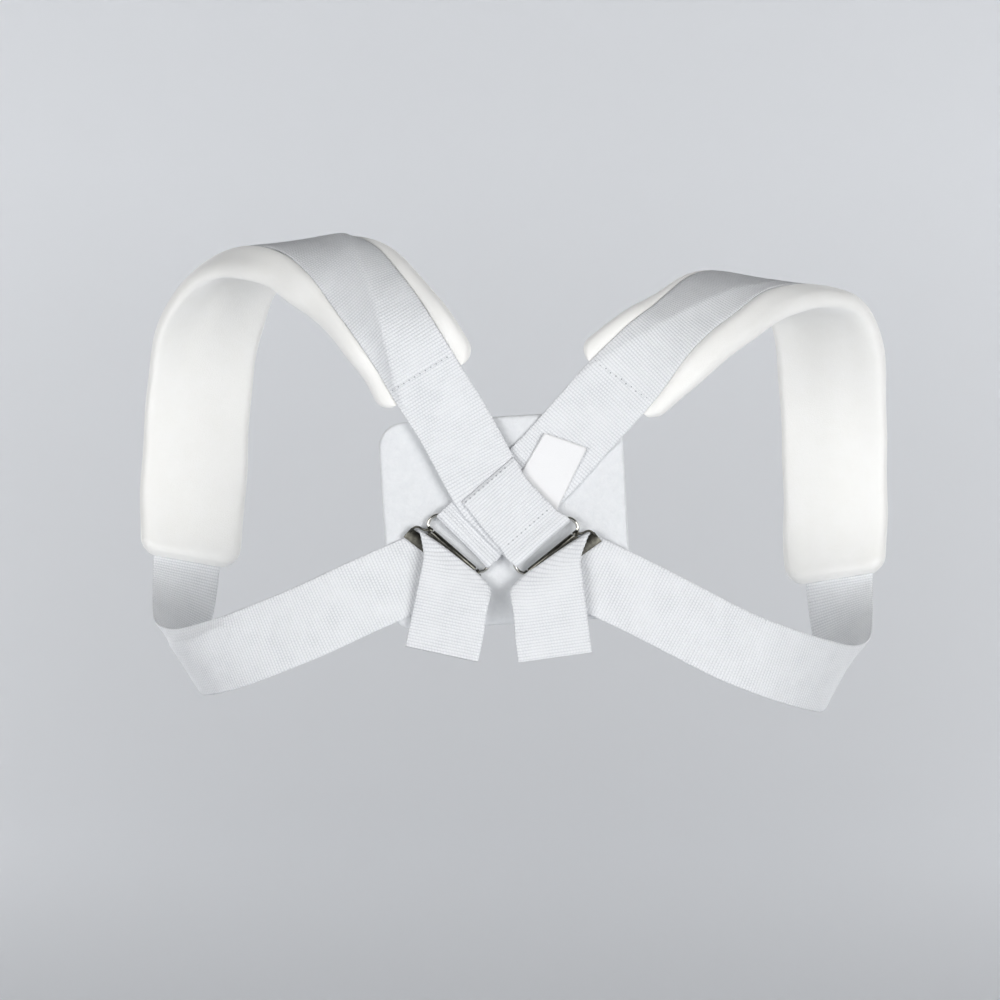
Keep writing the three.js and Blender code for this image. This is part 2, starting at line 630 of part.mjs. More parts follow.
// Clamp frame: a round bar for the webbing, a flat lip, two arms that flare from the knuckles
function frameGeometry(buckle) {
  const boreRadius = WIRE / 2 + HINGE_CLEARANCE;
  const knuckleRadius = boreRadius + KNUCKLE_WALL;
  const [start, end] = FRAME_ENDS;
  const thickness = FRAME_LIP_THICKNESS;
  const pieces = [
    barGeometry(...FRAME_ENDS.map((u) => buckle.place(u, FRAME_BAR_OUT)), WIRE / 2, FRAME_BAR_SIDES),
    blockGeometry(buckle, FRAME_ENDS, FRAME_LIP_OUT, thickness),
  ];
  for (const u of FRAME_ENDS) {
    const armSpan = [u - FRAME_ARM / 2, u + FRAME_ARM / 2];
    pieces.push(blockGeometry(buckle, armSpan, [FRAME_ARM_FROM, FRAME_LIP_OUT[1]], thickness));
  }
  for (const [sign, armEnd] of [[-1, start], [1, end]]) {
    const inner = KNUCKLE_AT - KNUCKLE_LENGTH / 2;
    const outer = KNUCKLE_AT + KNUCKLE_LENGTH / 2;
    const ends = [inner, outer].map((u) => buckle.place(sign * u, 0));
    pieces.push(barGeometry(...ends, knuckleRadius, KNUCKLE_SIDES));
    const arch = ARM_ARCH.map(({ out, lift, share }) =>
      buckle.place(THREE.MathUtils.lerp(sign * KNUCKLE_AT, armEnd, share), out, lift),
    );
    pieces.push(wireGeometry(arch, ARM_WIRE / 2));
  }
  const reach = RING_INSIDE / 2 + BORE_PAST_RING;
  const bore = barGeometry(buckle.place(-reach, 0), buckle.place(reach, 0), boreRadius, KNUCKLE_SIDES);
  const joined = pieces.map(toManifold).reduce((whole, piece) => whole.add(piece));
  return fromManifold(joined.subtract(toManifold(bore)));
}

// Tag that lies on the lower strap and runs under the upper one
function labelGeometry() {
  const outer = SECOND_LAYER + WEBBING_THICKNESS / 2 - LABEL_THICKNESS;
  const outline = new THREE.Shape(LABEL_CORNERS.map(([x, z]) => new THREE.Vector2(x, z)));
  const geometry = new THREE.ExtrudeGeometry(outline, { depth: LABEL_THICKNESS, bevelEnabled: false });
  geometry.rotateX(Math.PI / 2);
  geometry.translate(0, outer + LABEL_THICKNESS, 0);
  return geometry;
}

function mesh(name, geometry, finish) {
  const made = new THREE.Mesh(geometry, new THREE.MeshStandardMaterial(MATERIALS[finish]));
  made.name = name;
  return made;
}

const leftBuckle = { ...BUCKLES.left, ...buckleFrame(BUCKLES.left) };
const rightBuckle = { ...BUCKLES.right, ...buckleFrame(BUCKLES.right) };
const leftStrap = squareUp(strapStations(LEFT_COURSE, rightBuckle, leftBuckle, LEFT_FLAP, LEFT_TAIL));
const rightStrap = squareUp(strapStations(RIGHT_COURSE, leftBuckle, rightBuckle, RIGHT_FLAP, RIGHT_TAIL));

const brace = new THREE.Group();
brace.add(
  mesh('back_pad', backPadGeometry(), 'felt'),
  mesh('left_webbing_strap', strapGeometry(leftStrap), 'webbing'),
  mesh('right_webbing_strap', strapGeometry(rightStrap), 'webbing'),
  mesh('left_shoulder_pad', padGeometry(LEFT_COURSE, LEFT_PAD, leftStrap), 'pad'),
  mesh('right_shoulder_pad', padGeometry(RIGHT_COURSE, RIGHT_PAD, rightStrap), 'pad'),
  mesh('left_buckle_ring', ringGeometry(leftBuckle), 'steel'),
  mesh('right_buckle_ring', ringGeometry(rightBuckle), 'steel'),
  mesh('left_buckle_frame', frameGeometry(leftBuckle), 'steel'),
  mesh('right_buckle_frame', frameGeometry(rightBuckle), 'steel'),
  mesh('label', labelGeometry(), 'label'),
);

export default brace;
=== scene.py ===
# Clavicle brace: white webbing loops that cross on a felt pad, soft shoulder pads,
# nickel wire buckles with hanging tails, and a blank satin tag.
import math
import bpy
import numpy as np
from mathutils import Matrix, Vector


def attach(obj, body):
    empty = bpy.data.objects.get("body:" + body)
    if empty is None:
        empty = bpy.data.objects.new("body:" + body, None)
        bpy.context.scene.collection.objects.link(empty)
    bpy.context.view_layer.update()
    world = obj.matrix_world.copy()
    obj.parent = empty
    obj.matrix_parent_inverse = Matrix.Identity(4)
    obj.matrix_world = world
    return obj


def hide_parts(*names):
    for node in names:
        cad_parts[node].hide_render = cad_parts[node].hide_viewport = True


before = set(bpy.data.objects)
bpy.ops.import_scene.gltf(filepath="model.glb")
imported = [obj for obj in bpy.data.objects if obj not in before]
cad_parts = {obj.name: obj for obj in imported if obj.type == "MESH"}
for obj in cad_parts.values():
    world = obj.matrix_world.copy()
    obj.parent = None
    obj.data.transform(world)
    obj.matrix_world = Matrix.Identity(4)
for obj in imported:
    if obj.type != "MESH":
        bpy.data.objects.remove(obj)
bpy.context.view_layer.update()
MM = 0.001

# Webbing, in millimetres
WEBBING_WIDTH = 38.0
WEBBING_THICKNESS = 1.5
GAP = 0.3
RIB_PITCH = 1.6
RIB_HEIGHT = 0.015
RIB_STEP = RIB_PITCH / 2
CORD_PITCH = 1.5
STRAP_STEP = 10.5
FOLD_STEPS = 6
CAD_WEBBING = 1.6
LAYER = CAD_WEBBING + GAP

# Sewn flaps: their lengths, where they close on the strap, and how far their sections lean with the bar
LEFT_FLAP = 39.0
RIGHT_FLAP = 33.0
FLAP_CLOSES_AT = 11.0
FLAP_MIDDLE = 0.55
FLAP_HALF_CLOSED = 0.5
FLAP_LEAN = 0.35
RING_APPROACH = 0.5
RING_LEAN = 0.6

# Columns across the webbing, as shares of its half width, and how its edges and cut ends are rounded
SHARES = np.concatenate(((-1.0, -0.975, -0.94), np.linspace(-0.88, 0.88, 21), (0.94, 0.975, 1.0)))
EDGE_ROUND = 0.1
EDGE_LEAST = 0.12
SCALLOP = 0.13
SCALLOP_FROM = 0.93
CUT_TAPER = 1.6
CUT_LEAST = 0.15

# Lengthwise creases, and a slow waviness of the whole strap
CREASE_GAIN = 1.7
CREASE_STEEPNESS = 1.5
WANDER = 0.22
WANDER_TURN = 3.1
WANDER_LENGTHS = (23.0, 41.0)

# How far a flap's edge lies inside the strap's own: at the fold, beyond it and at the flap's end;
# then how much narrower the strap is drawn beside the flap and on the shoulder
FLAP_INSETS = {"left": (1.4, 2.2, 3.3), "right": (0.6, 1.0, 1.0)}
TUCKS = {"left": dict(flap=1.9, shoulder=0.0, at=6.0), "right": dict(flap=0.0, shoulder=6.6, at=6.0)}
# Distances from the ring where these insets begin or end, each with the length that the change takes
INSET_BEYOND = (6.0, 8.0)
INSET_LAST = (14.0, 28.0)
INSET_SPREAD = 10.0
TUCK_BEGINS = (2.0, 8.0)
TUCK_ENDS = (32.0, 10.0)
SHOULDER_SPREAD = 27.0

# Seams: their depth and half width, and where they lie: from the flap's end, before the ring, and
# on the course where the pad begins
SEAM_DEPTH = 0.3
SEAM_SPREAD = 0.9
SEAM_TO = 0.95
LEFT_SEAMS = dict(flap_end=1.5, ring=9.5, pad=5.4)
RIGHT_SEAMS = dict(flap_end=2.4, pad=4.1)
STITCH_PITCH = 3.2
STITCH_RISE = 0.6
THREAD_RADII = (STITCH_PITCH * 0.36, 0.28, 0.24)
# Needle holes are small grey bodies of painted shade; these are their radii
HOLE_SHADE_RADII = (0.4, 0.42, 0.28)

# Felt back pad
BACK_PAD_SIZE = (124.0, 5.0, 106.5)
BACK_PAD_CORNER = 13.0
BACK_PAD_EDGE = 1.9
BACK_PAD_TURN = math.radians(3.5)
BACK_PAD_GRAIN = 1.15
FELT_CLOUD = 0.132
FELT_CLOUD_LENGTHS = (9.1, 7.7)
FELT_CLOUD_STARTS = (0.4, 1.1)
FELT_RIPPLE = 0.084
FELT_RIPPLE_LENGTHS = (3.7, 4.9)
FELT_BOW = 0.006
FELT_BOW_LENGTH = 31.0
FELT_BOW_START = 0.8

# Shoulder pads
PAD_THICKNESS = 9.0
PAD_CORNER = 9.0
PAD_SWELL = 1.5
PAD_GAP = 0.2
PAD_AROUND = 64
PAD_POINTS_APART = 0.35
# A pad's section: shares of the half width where it is pressed flat above and below, then how far
# beside the webbing it rises to which share of its swell, its round nose and the way it droops
PAD_PRESSED = (-0.97, -0.5, 0, 0.5, 0.97)
PAD_BOTTOM = (0.7, 0, -0.7)
PAD_RISE = ((0.5, 0.5), (1.6, 1.0))
NOSE_STEPS = 8
NOSE_CLEAR = 0.6
DROOP_CLEAR = 0.1
DROOP_POWER = 1.2
# Along a pad: the places of the sections at its ends, the step between, how the ends thin out, and
# the waves of its edges as height, length and turn
PAD_END_PLACES = (0.0, 0.35, 1.0, 2.0, 3.4, 5.2, 7.4, 10.0)
PAD_END_CLEAR = 12.0
PAD_STEP = 3.0
PAD_END_ROUND = 5.0
PAD_END_THIN = 0.3
PAD_WAVES = ((0.5, 17.0, 1), (0.3, 7.3, 2))

# Buckles. Plates, knuckles and arms are drawn in a flat plan: along the bars, outwards, off the back
WIRE = 1.8
WIRE_SIDES = 20
CORNER_STEPS = 8
WELD = 0.02
RING_BAR_SPACING = 9.6
RING_SLACK = 0.95
RING_INSIDE = 36.4
RING_SHIFT = -1.2
RING_CORNER = 4.4
CLAMP_PLATE = ((-24.6, 5.2), (-24.6, 11.4), (19.0, 9.0), (19.0, 2.8))
CLAMP_THICKNESS = 0.9
CLAMP_EDGE = 0.1
HINGE_LEAF = ((-16.4, 0.4), (-16.4, 3.0), (13.4, 1.1), (13.4, 0.4))
LEAF_THICKNESS = 0.5
LEAF_EDGE = 0.15
LEAF_LEVEL = -1.75
KNUCKLES = ((-18.6, -15.6), (-14.8, 13.6), (14.4, 16.6))
KNUCKLE_WALL = 0.55
KNUCKLE_SIDES = 28
KNUCKLE_RIM = 0.2
HINGE_CLEARANCE = 0.1
ARM_WIRE = 1.2
UPPER_ARM = ((-17.2, 0.5, 1.3), (-19.2, 1.9, 2.0), (-21.6, 2.2, 2.2), (-23.9, 3.6, 1.6), (-24.0, 7.5, 0.2))
LOWER_ARM = ((17.2, 0.4, -1.3), (18.6, 0.8, -1.6), (18.6, 4.0, -0.3))
FOLD_RADIUS = WIRE / 2 + GAP + CAD_WEBBING / 2
RIGHT_RISE = 2.6

# Levels of the webbing's middle, from the inner side outwards
FIRST_LAYER = -(BACK_PAD_SIZE[1] + GAP + CAD_WEBBING / 2)
SECOND_LAYER = FIRST_LAYER - LAYER
THIRD_LAYER = SECOND_LAYER - LAYER

# Each buckle: its hinge bar's middle, the bars' slope, the wire's level, and how far the sewn fold
# leans from the bar that it lies round
BUCKLES = {
    "left": dict(x=-26.0, z=-15.7, slope=-41.5, level=FIRST_LAYER - FOLD_RADIUS, lean=4.0),
    "right": dict(x=22.7, z=-16.7, slope=219.0, level=FIRST_LAYER - FOLD_RADIUS - RIGHT_RISE, lean=2.0),
}

# Where the straps double back through the clamps: the place (x, z) where a strap's middle crosses
# the fold, the slope of the fold line, the strap's heading before it, and its tail's length and swing
FOLDS = {
    "left": dict(x=-24.2, z=-19.55, slope=-37.75, heading=24.5, tail=46.4, swing=-1.8),
    "right": dict(x=20.8, z=-19.9, slope=214.0, heading=154.1, tail=46.6, swing=-3.5),
}

# How the webbing lies at that fold and hangs as the tail. A pair is where something begins and the
# length or share that it takes
FOLD_LIFT = 2.2
LIFT_BESIDE = (4.0, 12.0)
LIFT_FADE = 26.0
LOOSE_FROM = -2.0
SLIDE_FROM = 1.0
SLIDE_LENGTH = 9.0
SLIDE_SKEW = 5.5
FOLD_SPREAD = 5.0
FOLD_BULGE = 1.2
LOWER_CORNER = dict(pull=0.8, shares=(0.8, 0.2))
UPPER_CORNER = dict(pull=1.3, shares=(0.75, 0.25))
TAIL_NIP = dict(pull=1.2, shares=(0.5, 0.5), at=5.0, spread=9.0)
TAIL_BELLY = 3.4
BELLY_AT = 13.0
TAIL_FALL = 2.6
FALL_LENGTH = 45.0
SWING_BEGINS = (2.0, 16.0)
END_BEGINS = (-13.0, 10.0)

# Courses of the straps: middle x, y, z, outward face fx, fy, fz, and a lengthwise crease that
# stands ridge proud at the share ridge_at of the half width
COLUMNS = ("x", "y", "z", "fx", "fy", "fz", "ridge_at", "ridge")
LEFT_COURSE = (
    (9.5, THIRD_LAYER, -2, 0, -1, 0, 0, 0),
    (0.9, THIRD_LAYER, 7, 0, -1, 0, 0, 0),
    (-8.4, THIRD_LAYER, 17, 0, -1, 0, 0, 0),
    (-18, THIRD_LAYER, 34, 0, -1, 0, 0, 0),
    (-27, THIRD_LAYER, 50.5, 0, -1, 0.02, 0, 0),
    (-38, -10.6, 68, -0.06, -1, 0.04, -0.85, 0.9),
    (-49.8, -8, 87.4, -0.23, -0.98, 0.1, -0.5, 2.8),
    (-60, -1, 102.5, -0.24, -0.91, 0.37, -0.15, 3.5),
    (-72, 12, 118, -0.27, -0.74, 0.63, 0.15, 3.7),
    (-85, 30, 132.5, -0.22, -0.46, 0.86, 0.45, 3),
    (-102, 55, 140, -0.15, -0.1, 0.98, 0.85, 1.2),
    (-125, 82, 137.5, -0.25, 0.3, 0.92, 0, 0),
    (-149, 105, 119, -0.35, 0.62, 0.7, 0, 0),
    (-162, 122, 83, -0.3, 0.88, 0.35, 0, 0),
    (-167, 128, 40, -0.22, 0.96, 0.08, 0, 0),
    (-170, 126, -5, -0.28, 0.94, -0.15, 0, 0),
    (-172.5, 111, -46, -0.5, 0.75, -0.4, 0, 0),
    (-173.5, 83, -70, -0.75, 0.3, -0.58, 0, 0),
    (-168.5, 54, -77.5, -0.86, -0.2, -0.45, -0.6, 1.5),
    (-158, 31, -75.5, -0.6, -0.76, -0.25, -0.6, 2.5),
    (-139, 14, -68.5, -0.3, -0.95, -0.06, -0.7, 1.2),
    (-120, 5, -60.5, -0.16, -0.98, 0, 0, 0),
    (-98, -1.5, -50.8, -0.08, -1, 0, 0, 0),
    (-73, -6, -38.8, 0, -1, 0, 0, 0),
    (-54, FIRST_LAYER, -30.4, 0, -1, 0, 0, 0),
)
RIGHT_COURSE = (
    (-6, FIRST_LAYER, 3.8, 0, -1, 0, 0, 0),
    (19.4, FIRST_LAYER, 27, 0, -1, 0, 0, 0),
    (37, FIRST_LAYER, 46.5, 0, -1, 0, 0, 0),
    (46.5, -7.8, 57, 0, -1, 0.06, -0.9, 0.2),
    (58, -10, 69.5, 0, -1, 0.14, -0.85, 0.8),
    (75.4, -6, 86.4, 0.02, -0.94, 0.3, -0.5, 1.1),
    (90, 3, 98.4, 0.06, -0.82, 0.55, -0.2, 1.5),
    (103, 18, 110.8, 0.1, -0.6, 0.78, 0.15, 1.4),
    (114, 36, 119.4, 0.12, -0.34, 0.93, 0.5, 0.9),
    (128, 57, 122, 0.18, -0.06, 0.98, 0.8, 0.4),
    (148, 83, 118, 0.28, 0.32, 0.9, 0, 0),
    (167, 105, 104.5, 0.35, 0.64, 0.68, 0, 0),
    (176, 121, 69, 0.3, 0.88, 0.35, 0, 0),
    (178, 127, 28, 0.22, 0.96, 0.08, 0, 0),
    (179, 125, -15, 0.28, 0.94, -0.15, 0, 0),
    (180.5, 110, -55, 0.5, 0.75, -0.4, 0, 0),
    (181, 83, -79, 0.75, 0.3, -0.58, 0, 0),
    (176, 54, -86.5, 0.86, -0.2, -0.45, 0, 0),
    (164, 31, -83.5, 0.58, -0.78, -0.2, 0, 0),
    (140, 12, -74.5, 0.27, -0.96, -0.04, 0, 0),
    (117, 3.5, -64.7, 0.14, -0.99, 0, 0, 0),
    (95, -2, -53.1, 0.06, -1, 0, 0, 0),
    (70, -6.3, -39.9, 0, -1, 0, 0, 0),
    (50, -7.6, -30.2, 0, -1, 0, 0, 0),
)

# Shoulder pads: the stretch of the course that each covers, and rows of the share along it, its reach
# on the minus and plus sides, and how far those sides droop
LEFT_PAD = dict(start=5.05, stop=15.6, reach=(
    (0, 28, 28.5, 0, 0),
    (0.12, 28.5, 28, 1.5, 0),
    (0.3, 33, 25, 6, 0),
    (0.42, 34.5, 24.5, 8, 0),
    (0.55, 33.5, 27, 6, 1),
    (0.75, 30, 28, 2, 2),
    (1, 28, 28, 0, 0),
))
RIGHT_PAD = dict(start=3.85, stop=14.6, reach=(
    (0, 28.5, 26, 0, 0),
    (0.12, 27, 27, 0, 1.5),
    (0.3, 24, 32, 0, 4.5),
    (0.42, 24.5, 34.5, 0, 2),
    (0.55, 27, 33.5, 1, 1),
    (0.75, 28, 30, 2, 2),
    (1, 28, 28, 0, 0),
))

# Tag: corners on the back (x, z) with the tucked side first, its cut size, and its curl, lip and ripple
LABEL_CORNERS = ((6, 21.5), (25.9, 4.8), (41.5, 37.5), (19.8, 45))
LABEL_CUT = (26.0, 33.0)
LABEL_THICKNESS = 0.5
LABEL_GRID = (24, 28)
LABEL_LIFT = 0.5
LABEL_CURL = 0.9
CURL_BEGINS = (0.45, 0.55)
LABEL_LIP = 0.5
LIP_BEGINS = (0.8, 0.2)
LABEL_RIPPLE = 0.15
LABEL_RIPPLE_TURN = 5.5
LABEL_RIPPLE_START = 1.0

# Camera: millimetres per pixel on the back pad, its distance and height angle, and the pixel
# of the 1000 pixel square image where the middle of the back pad lies
MM_PER_PIXEL = 0.511
CAMERA_DISTANCE = 2.2
CAMERA_RISE = math.radians(4)
PAD_PIXEL = (505.5, 520.0)
IMAGE = 1000
SENSOR = 36.0

# Stage in metres: half its width and depth, the middle of its depth, the sweep and the wall
FLOOR = -0.4
STAGE_HALF = (14.0, 7.8)
STAGE_MIDDLE = -6.2
SWEEP_RADIUS = 0.6
WALL_HEIGHT = 4.0

# Lights: place and target in metres, width and height of the soft box, and power in watts
LIGHTS = (
    ("left_soft_box", (-1.5, -2.2, 0.22), (0, 0, 0), (1.5, 0.9), 32.5),
    ("right_soft_box", (1.5, -2.2, 0.22), (0, 0, 0), (1.5, 0.9), 39),
    ("left_back_fill", (-1.6, 1.6, -0.05), (0, 0, 0), (1.0, 0.7), 20),
    ("right_back_fill", (1.6, 1.6, -0.05), (0, 0, 0), (1.0, 0.7), 20),
    ("sweep_light", (0, 1.3, 1.7), (0, 2.4, 0.9), (3.0, 0.6), 9),
)
ROOM_STRENGTH = 0.24
ROOM_DARK = (0.03, 0.032, 0.036)
ROOM_PALE = (0.95, 0.97, 1.0)
ROOM_PALE_BETWEEN = (-0.75, 0.1)

TINY = 1e-9
OUTWARD = np.array((0.0, -1.0, 0.0))


def unit(vectors):
    return vectors / np.linalg.norm(vectors, axis=-1, keepdims=True)


def distances_along(points):
    return np.concatenate(([0.0], np.cumsum(np.linalg.norm(np.diff(points, axis=0), axis=1))))


def ease(t):
    t = np.clip(t, 0, 1)
    return t * t * (3 - 2 * t)


def rise(value, start, over):
    """Smoothly from 0 at the start to 1 when over has gone by."""
    return ease((value - start) / over)


def hump(value, middle, spread):
    """A smooth hump that is 1 at its middle and fades on both sides."""
    return np.exp(-((value - middle) / spread) ** 2)


# The course of a strap

def smooth(values, at):
    """A smooth line through evenly numbered values."""
    i = min(max(int(math.floor(at)), 0), len(values) - 2)
    t = at - i
    p1, p2 = values[i], values[i + 1]
    p0 = values[i - 1] if i > 0 else 2 * p1 - p2
    p3 = values[i + 2] if i + 2 < len(values) else 2 * p2 - p1
    bend = 2 * p0 - 5 * p1 + 4 * p2 - p3
    return 0.5 * (2 * p1 + (p2 - p0) * t + bend * t * t + (3 * p1 - p0 - 3 * p2 + p3) * t ** 3)


def course_station(rows, at):
    here = {name: smooth([row[k] for row in rows], at) for k, name in enumerate(COLUMNS)}
    middle = np.array((here["x"], here["y"], here["z"]))
    face = unit(np.array((here["fx"], here["fy"], here["fz"])))
    return dict(at=at, middle=middle, face=face, ridge_at=here["ridge_at"], ridge=max(here["ridge"], 0.0))


def row_spacing(rows, i):
    return math.dist(rows[i][:3], rows[i + 1][:3])


def buckle_directions(side):
    """The buckle's directions along its bars and away from the middle, and its hinge bar's middle."""
    facts = BUCKLES[side]
    slope = math.radians(facts["slope"])
    along = np.array((math.cos(slope), 0.0, math.sin(slope)))
    out = unit(np.cross(OUTWARD, along))
    if out[2] > 0:
        out = -out
    return along, out, np.array((facts["x"], facts["level"], facts["z"]))


def sewn_stations(course, ring_side, flap_length):
    """Stations of the sewn flap, of its fold round the ring, and halfway from there to the course."""
    ring_along, ring_out, hinge = buckle_directions(ring_side)
    ring_along = unit(ring_along + ring_out * math.tan(math.radians(BUCKLES[ring_side]["lean"])))
    bar = hinge + ring_out * (RING_SLACK - RING_BAR_SPACING)
    under = bar - OUTWARD * FOLD_RADIUS
    approach = (tuple(under) + tuple(course[0][3:]),) + tuple(course)
    reach = math.dist(course[0][:3], under)
    half_closed = FLAP_CLOSES_AT * FLAP_HALF_CLOSED
    stations = []
    for distance in (flap_length, flap_length * FLAP_MIDDLE, FLAP_CLOSES_AT, half_closed):
        at = distance / reach if distance < reach else 1 + (distance - reach) / row_spacing(course, 0)
        share = min(distance / FLAP_CLOSES_AT, 1)
        lift = LAYER + (2 * FOLD_RADIUS - LAYER) * (1 - share) ** 2
        middle = course_station(approach, at)["middle"] + OUTWARD * lift
        stations.append(dict(middle=middle, blend=FLAP_LEAN if distance > FLAP_CLOSES_AT else 1))
    for i in range(FOLD_STEPS + 1):
        turn = -math.pi / 2 + math.pi * i / FOLD_STEPS
        middle = bar + ring_out * FOLD_RADIUS * math.cos(turn) - OUTWARD * FOLD_RADIUS * math.sin(turn)
        stations.append(dict(middle=middle, blend=1, ring=True))
    halfway = course_station(approach, RING_APPROACH)
    del halfway["at"]
    stations.append(dict(halfway, blend=RING_LEAN))
    return [dict(station, bar=ring_along) for station in stations]


def strap_stations(course, ring_side, clamp_side, flap_length):
    """Stations from the sewn flap, round the ring, along the course and up to the clamp's fold."""
    stations = sewn_stations(course, ring_side, flap_length)
    for i in range(len(course) - 1):
        steps = max(1, round(row_spacing(course, i) / STRAP_STEP))
        stations += [course_station(course, i + s / steps) for s in range(steps)]
    stations.append(course_station(course, len(course) - 1))
    fold, last = fold_directions(clamp_side), np.array(course[-1][:3])
    heading = unit(last - np.array(course[-2][:3]))
    enter = last + heading * np.dot(fold["middle"] - last, fold["ahead"]) / np.dot(heading, fold["ahead"])
    enter[1] = fold["middle"][1] + FOLD_RADIUS
    stations.append(dict(middle=enter, face=OUTWARD))
    return square_up(stations)


def fold_directions(side):
    """The fold round the clamp: its middle, and the directions of the fold and of the strap."""
    facts = FOLDS[side]
    slope, heading = math.radians(facts["slope"]), math.radians(facts["heading"])
    along = np.array((math.cos(slope), 0.0, math.sin(slope)))
    travel = np.array((math.cos(heading), 0.0, math.sin(heading)))
    ahead = np.cross(along, OUTWARD)
    if np.dot(ahead, travel) < 0:
        ahead = -ahead
    edge = np.array((facts["x"], BUCKLES[side]["level"], facts["z"]))
    middle = edge - ahead * (FOLD_RADIUS + WEBBING_THICKNESS / 2)
    lower = np.cross(travel, OUTWARD)
    if lower[2] > 0:
        lower = -lower
    return dict(along=along, ahead=ahead, travel=travel, lower=lower, middle=middle)


def square_up(stations):
    """Give each station its crosswise line and half width: the line leans with a bar near a fold."""
    count = len(stations)
    for i, station in enumerate(stations):
        before, after = stations[max(i - 1, 0)], stations[min(i + 1, count - 1)]
        station["travel"] = unit(after["middle"] - before["middle"])
    first = next(i for i, station in enumerate(stations) if "at" in station)
    crosswise = None
    for i in list(range(first, count)) + list(range(first - 1, -1, -1)):
        station = stations[i]
        if i == first - 1:
            crosswise = stations[first]["crosswise"]
        line = np.cross(station["travel"], station["face"]) if "face" in station else crosswise
        line = unit(line - station["travel"] * np.dot(line, station["travel"]))
        blend = station.get("blend", 0)
        if "bar" in station:
            lean = station["bar"] if np.dot(station["bar"], line) > 0 else -station["bar"]
            line = unit(line + (lean - line) * blend)
        skew = np.linalg.norm(np.cross(line, station["travel"]))
        station["crosswise"] = crosswise = line
        station["half"] = WEBBING_WIDTH / 2 / (skew + (1 - skew) * blend)
    return stations


def curve_through(knots, values, at):
    """Smooth curve through values at uneven knots, read at many places."""
    values = np.asarray(values, float)
    flat = values.ndim == 1
    if flat:
        values = values[:, None]
    slope = np.empty_like(values)
    step = np.diff(knots)[:, None]
    secant = np.diff(values, axis=0) / step
    slope[1:-1] = (secant[:-1] * step[1:] + secant[1:] * step[:-1]) / (step[:-1] + step[1:])
    slope[0], slope[-1] = secant[0], secant[-1]
    at = np.minimum(at, knots[-1])
    i = np.clip(np.searchsorted(knots, at, side="right") - 1, 0, len(knots) - 2)
    h = step[i]
    t = ((at - knots[i]) / h[:, 0])[:, None]
    made = ((2 * t ** 3 - 3 * t ** 2 + 1) * values[i] + (t ** 3 - 2 * t ** 2 + t) * h * slope[i]
            + (3 * t ** 2 - 2 * t ** 3) * values[i + 1] + (t ** 3 - t ** 2) * h * slope[i + 1])
    return made[:, 0] if flat else made


def fine_strap(stations, tail):
    """The same strap with a section every half rib: places, directions and distances along it."""
    middles = np.array([s["middle"] for s in stations])
    knots = distances_along(middles)
    total = knots[-1] + math.pi * FOLD_RADIUS + tail
    along = np.arange(0, total, RIB_STEP)
    middle = curve_through(knots, middles, along)
    across = unit(curve_through(knots, [s["crosswise"] for s in stations], along))
    travel = unit(np.gradient(middle, axis=0) + TINY)
    outer = unit(np.cross(across, travel))
    half = curve_through(knots, [s["half"] for s in stations], along)
    ridge = np.interp(along, knots, [s.get("ridge", 0.0) for s in stations])
    ridge_at = np.interp(along, knots, [s.get("ridge_at", 0.0) for s in stations])
    marks = [(s["at"], k) for s, k in zip(stations, knots) if "at" in s]
    ring = [k for s, k in zip(stations, knots) if "ring" in s]
    return dict(along=along, middle=middle, across=across, outer=outer, half=half, ridge=ridge,
                ridge_at=ridge_at, marks=np.array(marks), ring=(ring[0], ring[-1]), fold=knots[-1])


def distance_at(strap, at):
    """Distance along the strap of a place on its course."""
    return float(np.interp(at, strap["marks"][:, 0], strap["marks"][:, 1]))


# Making meshes

def deselect():
    if bpy.context.mode != "OBJECT":
        bpy.ops.object.mode_set(mode="OBJECT")
    bpy.ops.object.select_all(action="DESELECT")


def select(*pieces):
    deselect()
    for piece in pieces:
        piece.select_set(True)
    bpy.context.view_layer.objects.active = pieces[0]


def named(name):
    made = bpy.context.object
    made.name = name
    made.data.name = name
    return made


def points_of(made):
    points = np.empty(len(made.data.vertices) * 3)
    made.data.vertices.foreach_get("co", points)
    return points.reshape(-1, 3)


def set_points(made, points):
    made.data.vertices.foreach_set("co", points.ravel())
    made.data.update()


def select_edges(made, wanted):
    """Leave the mesh in edit mode with only its wanted edges selected."""
    bpy.ops.object.mode_set(mode="EDIT")
    bpy.ops.mesh.select_mode(type="EDGE")
    bpy.ops.mesh.select_all(action="DESELECT")
    bpy.ops.object.mode_set(mode="OBJECT")
    for edge in made.data.edges:
        edge.select = wanted(*(made.data.vertices[i].co for i in edge.vertices))
    bpy.ops.object.mode_set(mode="EDIT")


def tube_of_rings(name, rings):
    """A ball whose circles are drawn out along the given closed sections; its poles close the ends."""
    rings = np.asarray(rings)
    count, around = rings.shape[:2]
    deselect()
    bpy.ops.mesh.primitive_uv_sphere_add(segments=around, ring_count=count + 1, radius=1)
    made = named(name)
    points = points_of(made)
    ring = np.rint(np.arccos(np.clip(points[:, 2], -1, 1)) / math.pi * (count + 1)).astype(int)
    turn = np.rint(np.arctan2(points[:, 0], points[:, 1]) / (2 * math.pi) * around).astype(int) % around
    row = np.clip(ring - 1, 0, count - 1)
    placed = rings[row, turn]
    placed[ring == 0] = rings[0].mean(axis=0)
    placed[ring == count + 1] = rings[-1].mean(axis=0)
    set_points(made, placed * MM)
    return made, row, turn


def note(made, name, values):
    """Keep a vector on each point of a mesh for its material."""
    layer = made.data.attributes.new(name, "FLOAT_VECTOR", "POINT")
    layer.data.foreach_set("vector", np.ascontiguousarray(values, dtype=np.float32).ravel())


def point_out(made):
    select(made)
    bpy.ops.object.mode_set(mode="EDIT")
    bpy.ops.mesh.select_all(action="SELECT")
    bpy.ops.mesh.normals_make_consistent(inside=False)
    bpy.ops.object.mode_set(mode="OBJECT")
    bpy.ops.object.shade_smooth()


